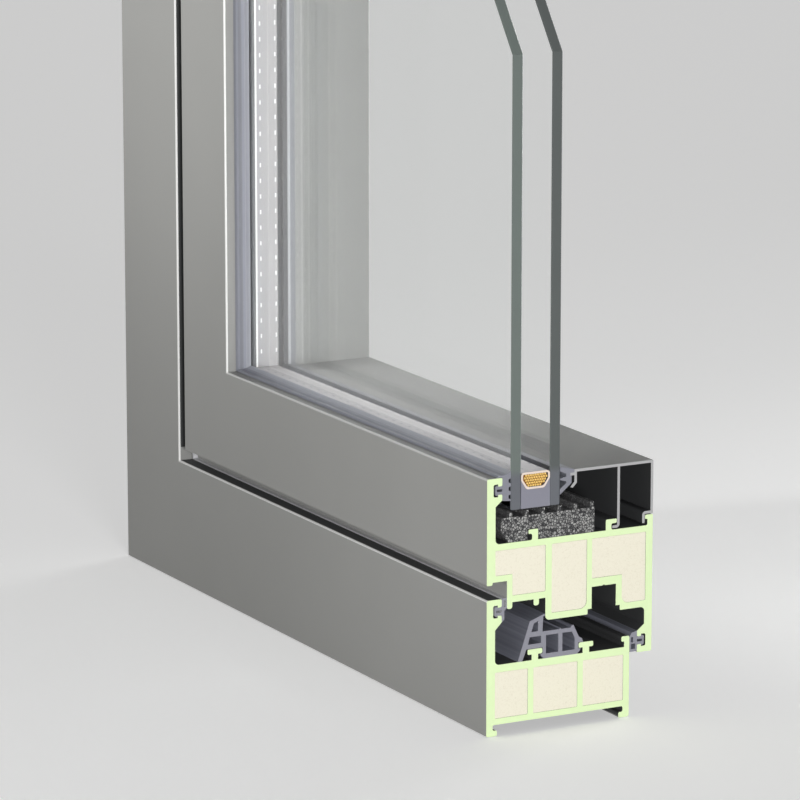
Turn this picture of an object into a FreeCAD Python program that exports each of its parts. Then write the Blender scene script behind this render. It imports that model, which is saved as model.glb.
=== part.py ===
import FreeCAD, Part
import os

import Sketcher

# Corner sample of an inward opening window: outer frame, sash and insulating glass.
# Every run of material is a section drawn in depth (Y, exterior face at 0) and height (Z, frame feet at 0)
# and padded from the outer corner: once along the sill, and once up the jamb, with a 45 degree mitre between.

# Each driving size is written once, in millimetres.
SIZES = [
    ("sill_length", 363.0, "outer corner to the sawn end of the sill"),
    ("jamb_height", 400.0, "floor to the sawn end of the jamb"),
    ("frame_depth", 70.4, "outer frame, exterior to interior face"),
    ("outer_wall", 4.1, "exterior wall of both profiles"),
    ("inner_wall", 3.0, "interior wall of the frame"),
    ("base_wall", 2.7, "bottom wall of the frame"),
    ("floor_wall", 3.3, "wall under the frame's rebate"),
    ("frame_web", 2.7, "webs between the frame's chambers"),
    ("web_one_at", 20.2, "exterior face to the first web"),
    ("web_two_at", 44.6, "exterior face to the second web"),
    ("chamber_rise", 20.3, "height of the frame's chambers"),
    ("foot_height", 5.0, "feet below the frame's bottom wall"),
    ("toe_height", 2.5, "thickness of a foot's toe"),
    ("toe_width", 5.2, "width of a foot's toe"),
    ("foot_wall", 3.1, "width of a foot above its toe"),
    ("frame_lip_rise", 28.7, "frame's outer lip above its rebate"),
    ("groove_back", 3.1, "wall behind a gasket groove"),
    ("groove_depth", 2.2, "depth of a gasket groove behind its jaws"),
    ("groove_jaw", 2.0, "thickness of a gasket groove's jaws"),
    ("groove_height", 5.5, "height of a gasket groove"),
    ("groove_mouth", 3.6, "opening between a gasket groove's jaws"),
    ("lip_cap", 2.6, "wall past the gasket groove at the end of a lip"),
    ("jaw_heel", 2.1, "wall below the gasket groove before the lip slopes back"),
    ("jaw_slope", 3.3, "height over which the lip slopes back to its wall"),
    ("hook_one_at", 23.6, "exterior face to the middle of the first hook"),
    ("hook_two_at", 48.75, "exterior face to the middle of the second hook"),
    ("hook_stem", 3.2, "width of a hook's stem"),
    ("hook_head", 7.2, "width of a hook's head"),
    ("hook_neck", 2.5, "gap under a hook's head"),
    ("hook_cap", 2.3, "thickness of a hook's head"),
    ("edge_stem", 2.6, "stem of the hook at the frame's inner edge"),
    ("edge_reach", 4.0, "head of the hook at the frame's inner edge"),
    ("air_gap", 12.0, "hook heads to the underside of the sash"),
    ("face_gap", 6.4, "frame's lip to the sash's face"),
    ("face_edge", 2.8, "thickness of the sash's face edge"),
    ("face_drip", 1.2, "drip of the sash's face edge"),
    ("rebate_gap", 2.5, "frame's jaws to the sash's nose"),
    ("nose_wall", 2.6, "thickness of the sash's nose and of its rib"),
    ("nose_drop", 2.8, "nose and rib below the sash's outer step"),
    ("step_below_lip", 2.0, "sash's outer step below the top of the frame's lip"),
    ("rib_gap", 3.2, "rib to the sash's deep box"),
    ("sash_web_at", 28.6, "exterior face to the sash's deep box"),
    ("sash_web", 3.0, "web between the sash's outer and middle chambers"),
    ("sash_web_inner", 2.5, "web beside the hardware groove"),
    ("sash_wall", 2.9, "bottom walls of the sash"),
    ("sash_floor_wall", 2.8, "wall under the glazing rebate"),
    ("sash_inner_wall", 3.4, "interior wall of the sash"),
    ("sash_box", 36.0, "height of the sash's deep box"),
    ("sash_overhang", 11.1, "sash's interior face past the frame's"),
    ("sash_lip_rise", 28.6, "sash's outer lip above its glazing rebate"),
    ("fitting_axis", 13.0, "frame's interior face to the hardware groove's axis"),
    ("fitting_groove", 12.0, "width of the hardware groove"),
    ("fitting_depth", 11.9, "depth of the hardware groove"),
    ("fitting_seat", 16.0, "width of the hardware groove's mouth"),
    ("seat_depth", 2.3, "depth of the hardware groove's mouth"),
    ("fitting_wall", 2.9, "wall on the interior side of the hardware groove"),
    ("fitting_roof", 3.7, "wall over the hardware groove"),
    ("mark_width", 0.8, "centre mark in the hardware groove, half its width"),
    ("mark_depth", 0.4, "centre mark in the hardware groove, its depth"),
    ("leg_wall", 3.8, "sash's inner leg above its gasket groove"),
    ("leg_overlap", 8.0, "sash's inner leg below the hook heads"),
    ("leg_slope", 2.7, "height over which the inner leg slopes to its jaws"),
    ("stop_hook_at", 21.9, "exterior face to the glazing rebate's first hook"),
    ("stop_stem", 2.9, "stem of the glazing rebate's first hook"),
    ("stop_reach", 1.8, "head of the glazing rebate's first hook past its stem"),
    ("bead_hook_in", 23.4, "interior face to the hook that holds the bead"),
    ("bead_stem", 2.8, "stem of the hook that holds the bead"),
    ("bead_reach", 2.6, "head of the hook that holds the bead past its stem"),
    ("bead_neck", 2.8, "gap under the heads in the glazing rebate"),
    ("bead_cap", 1.9, "thickness of the heads in the glazing rebate"),
    ("edge_lip", 2.7, "edge lip that the bead snaps over"),
    ("edge_lip_reach", 1.2, "head of the edge lip past its stem"),
    ("glass_lift", 14.1, "glazing rebate to the glass edge"),
    ("glazing_gap", 4.1, "sash's jaws to the outer pane"),
    ("pane", 5.0, "thickness of each pane"),
    ("pane_gap", 14.0, "space between the panes"),
    ("bead_gap", 7.0, "inner pane to the bead's nose"),
    ("glass_cut_rise", 108.0, "slanted cut of the glass below the sawn end of the jamb"),
    ("glass_cut_run", 80.0, "slanted cut of the glass back from the sawn end of the sill"),
    ("spacer_lift", 8.2, "glass edge to the spacer"),
    ("spacer_height", 7.4, "height of the spacer"),
    ("spacer_side", 3.3, "straight side of the spacer"),
    ("spacer_taper", 2.6, "spacer's bottom narrower than its top, each side"),
    ("spacer_wall", 0.9, "wall of the spacer"),
    ("bead_wall", 1.2, "wall of the glazing bead"),
    ("bead_fit", 0.2, "clearance between the bead and its hooks"),
    ("bead_rest", 0.4, "bead's step above the edge lip"),
    ("bead_foot", 2.4, "foot of the bead under its hook"),
    ("bead_toe", 0.6, "bead's foot above the glazing rebate"),
    ("bead_heel", 1.1, "bead's inner leg above the glazing rebate"),
    ("bead_nose", 8.0, "bead's nose, top to its lower hook"),
    ("bead_claw", 2.0, "bead's two claws past its nose"),
    ("bead_claw_drop", 1.4, "bead's top to its upper claw"),
    ("strip_inset", 2.6, "rebate strip to the sash's outer lip"),
    ("strip_clear", 5.5, "rebate strip to the bead's hook"),
    ("strip_below_glass", 3.0, "rebate strip's body below the glass"),
    ("tooth_below_glass", 0.5, "rebate strip's teeth below the glass"),
    ("tooth_width", 2.0, "teeth of the rebate strip"),
    ("strip_corner", 3.9, "rebate strip's cut corner"),
    ("seal_wall", 2.0, "walls of the centre gasket"),
    ("seal_fit", 0.2, "clearance of a gasket to what it clips on"),
    ("seal_foot", 8.4, "centre gasket's leg in front of the first hook"),
    ("seal_rise", 12.0, "centre gasket's body above its rebate"),
    ("seal_tip", 3.0, "centre gasket's tip above the sash's underside"),
    ("barb", 0.6, "gasket's barb behind the jaws of its groove"),
    ("barb_gap", 0.8, "gasket's barb to the back of its groove"),
    ("slot", 1.1, "slot in a gasket's foot"),
    ("flap", 0.8, "thickness of the glazing gasket's flap on the sash's outer lip"),
    ("flap_reach", 2.6, "flap past the jaws' face, over the lip"),
    ("gasket_rise", 2.6, "glazing gasket's edge on the glass above the sash's lip"),
    ("inner_rise", 1.7, "inner glazing gasket's edge on the glass above the bead"),
    ("edge_round", 0.8, "rounding of outer edges"),
    ("head_round", 1.0, "rounding of hook heads, toes and the sash's nose"),
    ("groove_round", 0.8, "rounding at the back of a gasket groove"),
    ("root_round", 2.0, "rounding inside a rebate"),
    ("hook_root", 0.8, "rounding under the hooks in the glazing rebate and behind the feet's toes"),
    ("box_round", 2.0, "rounding under the sash's deep box"),
    ("core_round", 3.2, "rounding in a chamber's corner beside the hardware groove"),
    ("chamber_round", 0.5, "rounding in the other corners of a chamber"),
    ("sheet_round", 0.3, "rounding of the bead's outer edges"),
    ("sheet_bend", 1.6, "outside of the bend in the bead's foot and step"),
    ("spacer_round", 1.8, "rounding of the spacer's bottom corners"),
    ("shoulder_round", 1.0, "rounding of the spacer's shoulders"),
    ("spacer_crown", 1.6, "rounding of the spacer's top corners"),
    ("glass_arris", 0.4, "arris on the glass edges"),
]


class Term:
    """A length in mm that keeps both its formula over the sheet and its value."""

    def __init__(self, text, value):
        self.text = text
        self.value = value

    def _join(self, sign, other, value):
        return Term(f"({self.text} {sign} {other.text})", value)

    def __add__(self, other):
        other = as_term(other)
        return self._join("+", other, self.value + other.value)

    def __sub__(self, other):
        other = as_term(other)
        return self._join("-", other, self.value - other.value)

    def __mul__(self, other):
        other = as_term(other)
        return self._join("*", other, self.value * other.value)

    def __truediv__(self, other):
        other = as_term(other)
        return self._join("/", other, self.value / other.value)


def as_term(number):
    """Let plain numbers stand beside terms."""
    return number if isinstance(number, Term) else Term(str(number), float(number))


class Sheet:
    """The spreadsheet of driving sizes; each alias reads back as a Term."""

    def __init__(self, document, sizes):
        self.values = {}
        cells = document.addObject("Spreadsheet::Sheet", "Sizes")
        for row, (alias, value, remark) in enumerate(sizes, start=1):
            cells.set(f"A{row}", alias)
            cells.set(f"B{row}", str(value))
            cells.set(f"C{row}", remark)
            cells.setAlias(f"B{row}", alias)
            self.values[alias] = value

    def __getattr__(self, alias):
        return Term(f"Sizes.{alias}", self.values[alias])


doc = FreeCAD.newDocument("WindowCorner")
size = Sheet(doc, SIZES)
doc.recompute()

ZERO = Term("0", 0.0)

# Levels of the frame
chamber_floor = size.foot_height + size.base_wall
chamber_top = chamber_floor + size.chamber_rise
frame_rebate = chamber_top + size.floor_wall
frame_top = frame_rebate + size.frame_lip_rise
head_under = frame_rebate + size.hook_neck
head_top = head_under + size.hook_cap
jaw_face = size.groove_back + size.groove_depth + size.groove_jaw
frame_groove = frame_top - size.lip_cap - size.groove_height / 2

# Levels of the sash
sash_depth = size.frame_depth + size.sash_overhang
sash_under = head_top + size.air_gap
sash_rebate = sash_under + size.sash_box
sash_top = sash_rebate + size.sash_lip_rise
sash_groove = sash_top - size.lip_cap - size.groove_height / 2
sash_ceiling = sash_rebate - size.sash_floor_wall
face_under = frame_top + size.face_gap
face_ledge = face_under + size.face_drip
step_under = frame_top - size.step_below_lip
nose_under = step_under - size.nose_drop
nose_front = jaw_face + size.rebate_gap
nose_back = nose_front + size.nose_wall
rib_back = size.sash_web_at - size.rib_gap
rib_front = rib_back - size.nose_wall
fitting_axis = size.frame_depth - size.fitting_axis
fitting_front = fitting_axis - size.fitting_groove / 2
fitting_back = fitting_axis + size.fitting_groove / 2
fitting_top = sash_under + size.fitting_depth
leg_bottom = head_top - size.leg_overlap
leg_groove = leg_bottom + size.lip_cap + size.groove_height / 2
leg_face = sash_depth - size.leg_wall
leg_jaws = sash_depth - jaw_face
bead_hook = sash_depth - size.bead_hook_in
bead_head_under = sash_rebate + size.bead_neck
bead_head_top = bead_head_under + size.bead_cap

# Levels of the glass
glass_edge = sash_rebate + size.glass_lift
outer_glass = jaw_face + size.glazing_gap
outer_glass_back = outer_glass + size.pane
inner_glass = outer_glass_back + size.pane_gap
inner_glass_back = inner_glass + size.pane
bead_nose = inner_glass_back + size.bead_gap
spacer_bottom = glass_edge + size.spacer_lift
spacer_top = spacer_bottom + size.spacer_height
spacer_shoulder = spacer_top - size.spacer_side


def rectangle(front, back, low, high, rounding=None):
    """A loop of four corners, each with the same rounding."""
    corners = [(front, low), (back, low), (back, high), (front, high)]
    return [corner + (rounding,) if rounding else corner for corner in corners]


def groove(face, middle, way):
    """The path into a gasket groove and out again, upwards; `way` is 1 or -1 for its opening."""
    back = face + size.groove_back * way
    inside = back + size.groove_depth * way
    mouth = inside + size.groove_jaw * way
    low = middle - size.groove_mouth / 2
    high = middle + size.groove_mouth / 2
    return [
        (mouth, low, size.edge_round),
        (inside, low),
        (inside, middle - size.groove_height / 2),
        (back, middle - size.groove_height / 2, size.groove_round),
        (back, middle + size.groove_height / 2, size.groove_round),
        (inside, middle + size.groove_height / 2),
        (inside, high),
        (mouth, high, size.edge_round),
    ]


def hook(middle):
    """A T-shaped hook on the frame's rebate, from its interior side over to its exterior side."""
    stem = size.hook_stem / 2
    head = size.hook_head / 2
    return [
        (middle + stem, frame_rebate),
        (middle + stem, head_under),
        (middle + head, head_under, size.head_round),
        (middle + head, head_top, size.head_round),
        (middle - head, head_top, size.head_round),
        (middle - head, head_under, size.head_round),
        (middle - stem, head_under),
        (middle - stem, frame_rebate),
    ]


def frame_chambers():
    """The frame's three chambers, from the exterior."""
    two = size.web_one_at + size.frame_web
    three = size.web_two_at + size.frame_web
    last = size.frame_depth - size.inner_wall
    rounding = size.chamber_round
    return [
        rectangle(size.outer_wall, size.web_one_at, chamber_floor, chamber_top, rounding),
        rectangle(two, size.web_two_at, chamber_floor, chamber_top, rounding),
        rectangle(three, last, chamber_floor, chamber_top, rounding),
    ]


def frame_section():
    """The frame profile: feet, outer lip with its gasket groove, rebate with hooks, and chambers."""
    slope = frame_groove - size.groove_height / 2 - size.jaw_heel
    inner_toe = size.frame_depth - size.toe_width
    inner_foot = size.frame_depth - size.foot_wall
    edge_face = size.frame_depth - size.edge_stem
    edge_head = size.frame_depth - size.edge_reach
    outline = [
        (ZERO, ZERO, size.edge_round),
        (size.toe_width, ZERO, size.head_round),
        (size.toe_width, size.toe_height, size.head_round),
        (size.foot_wall, size.toe_height, size.hook_root),
        (size.foot_wall, size.foot_height, size.hook_root),
        (inner_foot, size.foot_height, size.hook_root),
        (inner_foot, size.toe_height, size.hook_root),
        (inner_toe, size.toe_height, size.head_round),
        (inner_toe, ZERO, size.head_round),
        (size.frame_depth, ZERO, size.edge_round),
        (size.frame_depth, head_top, size.edge_round),
        (edge_head, head_top, size.head_round),
        (edge_head, head_under, size.head_round),
        (edge_face, head_under),
        (edge_face, frame_rebate),
    ]
    outline += hook(size.hook_two_at) + hook(size.hook_one_at)
    outline += [
        (size.outer_wall, frame_rebate, size.root_round),
        (size.outer_wall, slope - size.jaw_slope),
        (jaw_face, slope, size.edge_round),
    ]
    outline += groove(ZERO, frame_groove, 1)
    outline += [
        (jaw_face, frame_top, size.edge_round),
        (ZERO, frame_top, size.edge_round),
    ]
    return [outline] + frame_chambers()


def sash_chambers():
    """The sash's three chambers, from the exterior."""
    outer_floor = face_ledge + size.base_wall
    step_floor = step_under + size.sash_wall
    middle_front = size.sash_web_at + size.sash_web
    middle_back = fitting_front - size.sash_web_inner
    box_floor = sash_under + size.sash_wall
    inner_floor = fitting_top + size.fitting_roof
    inner_front = fitting_back + size.fitting_wall
    inner_back = sash_depth - size.sash_inner_wall
    small = size.chamber_round
    outer = [
        (size.outer_wall, outer_floor, small),
        (nose_back, outer_floor),
        (nose_back, step_floor, small),
        (size.sash_web_at, step_floor, small),
        (size.sash_web_at, sash_ceiling, small),
        (size.outer_wall, sash_ceiling, small),
    ]
    middle = [
        (middle_front, box_floor, small),
        (middle_back, box_floor, size.core_round),
        (middle_back, sash_ceiling, small),
        (middle_front, sash_ceiling, small),
    ]
    inner = [
        (fitting_front, inner_floor, small),
        (inner_front, inner_floor),
        (inner_front, box_floor, size.core_round),
        (inner_back, box_floor, small),
        (inner_back, sash_ceiling, small),
        (fitting_front, sash_ceiling, small),
    ]
    return [outer, middle, inner]


def sash_section():
    """The sash profile: face, nose, deep box with hardware groove, inner leg and glazing rebate."""
    seat_front = fitting_axis - size.fitting_seat / 2
    seat_back = fitting_axis + size.fitting_seat / 2
    seat_top = sash_under + size.seat_depth
    leg_jaw_top = leg_groove + size.groove_height / 2 + size.edge_round * 2
    slope = sash_groove - size.groove_height / 2 - size.edge_round * 2
    stop_back = size.stop_hook_at + size.stop_stem
    bead_stem_back = bead_hook + size.bead_stem
    bead_head = bead_stem_back + size.bead_reach
    lip_face = sash_depth - size.edge_lip
    outline = [
        (ZERO, face_under, size.edge_round),
        (size.face_edge, face_under, size.edge_round),
        (size.face_edge, face_ledge),
        (nose_front, face_ledge),
        (nose_front, nose_under, size.head_round),
        (nose_back, nose_under, size.head_round),
        (nose_back, step_under),
        (rib_front, step_under),
        (rib_front, nose_under, size.head_round),
        (rib_back, nose_under, size.head_round),
        (rib_back, step_under),
        (size.sash_web_at, step_under),
        (size.sash_web_at, sash_under, size.box_round),
        (seat_front, sash_under, size.edge_round),
        (seat_front, seat_top),
        (fitting_front, seat_top),
        (fitting_front, fitting_top),
        (fitting_axis - size.mark_width, fitting_top),
        (fitting_axis, fitting_top + size.mark_depth),
        (fitting_axis + size.mark_width, fitting_top),
        (fitting_back, fitting_top),
        (fitting_back, seat_top),
        (seat_back, seat_top),
        (seat_back, sash_under, size.edge_round),
        (leg_face, sash_under, size.root_round),
        (leg_face, leg_jaw_top + size.leg_slope),
        (leg_jaws, leg_jaw_top, size.edge_round),
    ]
    outline += list(reversed(groove(sash_depth, leg_groove, -1)))
    outline += [
        (leg_jaws, leg_bottom, size.edge_round),
        (sash_depth, leg_bottom, size.edge_round),
        (sash_depth, bead_head_top, size.edge_round),
        (lip_face - size.edge_lip_reach, bead_head_top, size.edge_round),
        (lip_face - size.edge_lip_reach, bead_head_under, size.edge_round),
        (lip_face, bead_head_under),
        (lip_face, sash_rebate, size.hook_root),
        (bead_stem_back, sash_rebate, size.hook_root),
        (bead_stem_back, bead_head_under, size.hook_root),
        (bead_head, bead_head_under, size.edge_round),
        (bead_head, bead_head_top, size.edge_round),
        (bead_hook, bead_head_top, size.edge_round),
        (bead_hook, sash_rebate),
        (stop_back, sash_rebate),
        (stop_back, bead_head_top, size.edge_round),
        (size.stop_hook_at - size.stop_reach, bead_head_top, size.edge_round),
        (size.stop_hook_at - size.stop_reach, bead_head_under, size.edge_round),
        (size.stop_hook_at, bead_head_under, size.hook_root),
        (size.stop_hook_at, sash_rebate, size.hook_root),
        (size.outer_wall, sash_rebate, size.root_round),
        (size.outer_wall, slope - size.leg_slope),
        (jaw_face, slope, size.edge_round),
    ]
    outline += groove(ZERO, sash_groove, 1)
    outline += [
        (jaw_face, sash_top, size.edge_round),
        (ZERO, sash_top, size.edge_round),
    ]
    return [outline] + sash_chambers()


def bead_section():
    """The glazing bead: a thin section with a nose, a hooked middle leg and a stepped inner leg."""
    wall = size.bead_wall
    step_bottom = bead_head_top + size.bead_rest
    inner_back = sash_depth - size.edge_lip - size.edge_lip_reach - size.bead_fit
    inner_bottom = sash_rebate + size.bead_heel
    leg_front = bead_hook + size.bead_stem + size.bead_reach + size.bead_fit
    foot_bottom = sash_rebate + size.bead_toe
    claw_top = sash_top - size.bead_claw_drop
    claw_bottom = claw_top - wall
    bend = sash_top - size.bead_nose + size.bead_claw
    tip = sash_top - size.bead_nose
    inside_bend = size.sheet_bend - wall
    return [[
        (bead_nose, sash_top, size.sheet_round),
        (sash_depth, sash_top, size.sheet_round),
        (sash_depth, step_bottom, size.sheet_round),
        (inner_back, step_bottom, inside_bend),
        (inner_back, inner_bottom, size.sheet_round),
        (inner_back - wall, inner_bottom, size.sheet_round),
        (inner_back - wall, step_bottom + wall, size.sheet_bend),
        (sash_depth - wall, step_bottom + wall),
        (sash_depth - wall, sash_top - wall),
        (leg_front + wall, sash_top - wall),
        (leg_front + wall, foot_bottom, size.sheet_bend),
        (leg_front - size.bead_foot, foot_bottom, size.sheet_round),
        (leg_front - size.bead_foot, foot_bottom + wall, size.sheet_round),
        (leg_front, foot_bottom + wall, inside_bend),
        (leg_front, sash_top - wall),
        (bead_nose + wall, sash_top - wall),
        (bead_nose + wall, bend),
        (bead_nose + wall - size.bead_claw, tip),
        (bead_nose - size.bead_claw, tip + wall / 3),
        (bead_nose, bend + wall / 2),
        (bead_nose, claw_bottom),
        (bead_nose - size.bead_claw, claw_bottom),
        (bead_nose - size.bead_claw, claw_top),
        (bead_nose, claw_top),
    ]]


def gasket_foot(face, middle, way):
    """The foot of a gasket in its groove, upwards from the mouth's lower edge and back."""
    back = face + (size.groove_back + size.barb_gap) * way
    behind_jaws = face + (size.groove_back + size.groove_depth - size.seal_fit) * way
    mouth = face + jaw_face * way
    half = size.groove_mouth / 2
    return [
        (mouth, middle - half),
        (behind_jaws, middle - half),
        (behind_jaws, middle - half - size.barb),
        (back, middle - half),
        (back, middle + half),
        (behind_jaws, middle + half + size.barb),
        (behind_jaws, middle + half),
        (mouth, middle + half),
    ]


def foot_slot(face, middle, way):
    """The slot in a gasket's foot."""
    back = face + (size.groove_back + size.barb_gap * 2) * way
    mouth = face + jaw_face * way
    front, rear = (back, mouth) if way > 0 else (mouth, back)
    return rectangle(front, rear, middle - size.slot / 2, middle + size.slot / 2)


def frame_gasket_section():
    """The gasket in the frame's lip: a strip behind the jaws and a hollow bulb on the sash's nose."""
    strip = jaw_face + size.rebate_gap / 2
    bulb_low = nose_under + size.barb
    outline = gasket_foot(ZERO, frame_groove, 1) + [
        (jaw_face, frame_top + size.seal_fit),
        (nose_front, frame_top + size.seal_fit),
        (nose_front, bulb_low),
        (strip, bulb_low - size.barb * 2),
        (strip, frame_groove - size.groove_height / 2 - size.jaw_heel / 2),
        (jaw_face, frame_groove - size.groove_height / 2 - size.jaw_heel),
    ]
    cell = [
        (jaw_face + size.rebate_gap * 0.4, bulb_low + size.barb),
        (jaw_face + size.rebate_gap * 0.84, bulb_low + size.barb),
        (jaw_face + size.rebate_gap * 0.84, frame_top - size.barb),
        (jaw_face + size.rebate_gap * 0.4, frame_top - size.barb * 1.5),
    ]
    return [outline, foot_slot(ZERO, frame_groove, 1), cell]


def sash_gasket_section():
    """The gasket in the sash's inner leg: two cells pressed on the frame's interior face."""
    gap = leg_jaws - size.frame_depth
    front = size.frame_depth
    top = leg_groove + size.groove_height / 2 + size.edge_round * 2
    foot = list(reversed(gasket_foot(sash_depth, leg_groove, -1)))
    outline = foot + [
        (leg_jaws, leg_bottom + size.barb),
        (front + size.seal_fit, leg_bottom + size.barb),
        (front, leg_groove - size.groove_mouth / 2),
        (front, head_top - size.edge_round),
        (front + gap * 0.3, top - size.barb),
        (leg_jaws, top),
    ]
    lower = rectangle(front + gap * 0.22, front + gap * 0.78,
                      leg_bottom + size.seal_wall * 0.9, leg_groove - size.barb * 2)
    upper = rectangle(front + gap * 0.22, front + gap * 0.5,
                      leg_groove - size.barb, leg_groove + size.groove_mouth / 2)
    return [outline, foot_slot(sash_depth, leg_groove, -1), lower, upper]


def outer_glazing_section():
    """The gasket in the sash's outer lip: a flap on the lip, and three grooves where it grips the glass."""
    flap_under = sash_top + size.seal_fit
    flap_top = flap_under + size.flap
    tip = sash_top + size.gasket_rise
    outline = [
        (jaw_face, sash_groove - size.groove_mouth - size.jaw_heel / 2),
        (jaw_face, sash_groove - size.groove_mouth / 2),
    ]
    outline += gasket_foot(ZERO, sash_groove, 1)[1:]
    outline += [
        (jaw_face, flap_under),
        (jaw_face - size.flap_reach, flap_under),
        (jaw_face - size.flap_reach + size.flap, flap_top),
        (jaw_face, flap_top),
        (outer_glass - size.glazing_gap * 0.4, flap_top + (tip - flap_top) * 0.3),
        (outer_glass, tip),
    ]
    bottom = glass_edge + size.spacer_lift / 2
    pitch = (sash_top - bottom) / 3
    inside = outer_glass - size.glazing_gap / 4
    for row in range(3):
        top = sash_top - pitch * row
        outline += [
            (outer_glass, top - pitch * 0.15),
            (inside, top - pitch * 0.3),
            (inside, top - pitch * 0.65),
            (outer_glass, top - pitch * 0.8),
        ]
    outline += [(outer_glass, bottom)]
    return [outline, foot_slot(ZERO, sash_groove, 1)]


def inner_glazing_section():
    """The gasket between the glass and the bead, clipped round the bead's nose."""
    gap = size.bead_gap
    front = inner_glass_back
    claw_top = sash_top - size.bead_claw_drop
    claw_bottom = claw_top - size.bead_wall
    claw_front = bead_nose - size.bead_claw
    bend = sash_top - size.bead_nose + size.bead_claw
    deep = front + gap * 0.43
    return [[
        (front, sash_top + size.inner_rise),
        (bead_nose, sash_top),
        (bead_nose, claw_top),
        (claw_front, claw_top),
        (claw_front, claw_bottom),
        (bead_nose - size.bead_claw * 0.7, claw_bottom),
        (bead_nose - size.bead_claw * 0.7, bend + size.seal_fit),
        (front, glass_edge + size.spacer_lift / 2),
        (front, bend - size.seal_wall),
        (deep, bend + size.seal_fit * 2),
        (deep, bend + size.seal_wall * 0.6),
        (front, bend + size.seal_wall),
        (front, bend + size.seal_wall * 1.3),
        (deep, claw_bottom - size.seal_fit),
        (deep, claw_top - size.seal_fit),
        (front, sash_top - size.seal_fit),
    ]]


def centre_gasket_section():
    """The middle gasket: clipped over both hooks, with a lip that meets the sash's deep box."""
    fit = size.seal_fit
    wall = size.seal_wall
    one_stem = size.hook_one_at + size.hook_stem / 2 + fit
    one_head = size.hook_one_at + size.hook_head / 2 + fit
    two_stem = size.hook_two_at - size.hook_stem / 2 - fit
    two_head = size.hook_two_at - size.hook_head / 2 - fit
    foot = size.hook_one_at - size.seal_foot
    body_top = frame_rebate + size.seal_rise
    roof = body_top - wall * 0.9
    tip = size.sash_web_at - fit
    tip_top = sash_under + size.seal_tip
    shoulder = tip_top - wall * 1.3
    crown = tip - wall * 3.7
    head_cover = head_top + fit
    left = one_head + wall * 0.8
    right = two_head - wall * 0.9
    middle = (left + right) / 2
    floor = frame_rebate + wall * 1.05
    outline = [
        (foot, frame_rebate),
        (foot + wall * 1.1, frame_rebate),
        (foot + wall * 2.1, head_cover),
        (one_head, head_cover),
        (one_head, head_under - fit),
        (one_stem + wall * 0.4, head_under - fit),
        (one_stem + wall * 0.6, head_under - wall * 0.6),
        (one_stem + wall * 1.3, frame_rebate),
        (two_stem - wall * 1.3, frame_rebate),
        (two_stem - wall * 0.6, head_under - wall * 0.6),
        (two_stem - wall * 0.4, head_under - fit),
        (two_head, head_under - fit),
        (two_head, head_cover),
        (two_head + wall * 1.2, head_cover),
        (two_head + wall * 0.9, head_cover + wall * 0.8),
        (two_head + wall * 0.1, head_cover + wall * 1.3),
        (two_head - wall * 1.2, body_top + wall * 0.5),
        (two_head - wall * 1.6, body_top + wall * 0.5),
        (two_head - wall * 2.0, body_top),
        (middle + wall * 0.2, body_top),
        (middle, body_top + wall * 0.3),
        (middle - wall * 0.2, body_top),
        (tip - wall * 0.6, body_top),
        (tip - wall * 0.4, tip_top - wall * 0.6),
        (tip, tip_top - wall * 0.5),
        (tip, tip_top),
        (crown, shoulder),
    ]
    lip_cell = [
        (tip - wall * 3.3, body_top + wall * 0.2),
        (tip - wall * 1.7, body_top + wall * 0.2),
        (tip - wall * 1.6, shoulder - wall * 0.1),
        (tip - wall * 2.7, shoulder - wall * 0.6),
    ]
    front_cell = [
        (size.hook_one_at - wall * 1.7, head_cover + wall),
        (size.hook_one_at + wall * 1.5, head_cover + wall),
        (size.hook_one_at + wall * 1.5, roof),
        (size.hook_one_at - wall * 1.3, roof),
    ]
    left_cell = rectangle(left, middle - wall / 2, floor, roof)
    right_cell = [
        (middle + wall / 2, floor),
        (right, floor),
        (right, head_cover + wall * 1.1),
        (right - wall * 0.7, roof),
        (middle + wall / 2, roof),
    ]
    return [outline, lip_cell, front_cell, left_cell, right_cell]


def strip_section():
    """The rebate strip: a block over the first hook, with teeth towards the glass edge."""
    front = size.outer_wall + size.strip_inset
    back = bead_hook - size.strip_clear
    body_top = glass_edge - size.strip_below_glass
    tooth_top = glass_edge - size.tooth_below_glass
    notch_front = size.stop_hook_at - size.stop_reach - size.seal_fit
    notch_back = size.stop_hook_at + size.stop_stem
    notch_top = bead_head_top + size.seal_fit
    count = 6
    first = outer_glass - size.tooth_width / 2
    pitch = (back - size.tooth_width * 2.2 + size.tooth_width - first) / (count - 1)
    outline = [
        (front + size.strip_corner, sash_rebate),
        (notch_front, sash_rebate),
        (notch_front, notch_top),
        (notch_back, notch_top),
        (notch_back, sash_rebate),
        (back, sash_rebate),
        (back, body_top),
    ]
    for tooth in reversed(range(count)):
        start = first + pitch * tooth
        outline += [
            (start + size.tooth_width, body_top),
            (start + size.tooth_width, tooth_top),
            (start, tooth_top),
            (start, body_top),
        ]
    outline += [
        (front, body_top),
        (front, sash_rebate + size.strip_corner * 1.2),
    ]
    return [outline]


def spacer_outline(wall):
    """The spacer's trapezoid, drawn in by `wall` on every side."""
    front = outer_glass_back + wall
    back = inner_glass - wall
    low_front = outer_glass_back + size.spacer_taper + wall * 0.6
    low_back = inner_glass - size.spacer_taper - wall * 0.6
    return [
        (low_front, spacer_bottom + wall, size.spacer_round),
        (low_back, spacer_bottom + wall, size.spacer_round),
        (back, spacer_shoulder, size.shoulder_round),
        (back, spacer_top - wall, size.spacer_crown - wall),
        (front, spacer_top - wall, size.spacer_crown - wall),
        (front, spacer_shoulder, size.shoulder_round),
    ]


def spacer_section():
    """The hollow spacer between the panes."""
    return [spacer_outline(ZERO), spacer_outline(size.spacer_wall)]


def desiccant_section():
    """The desiccant that fills the spacer."""
    return [spacer_outline(size.spacer_wall)]


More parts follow.
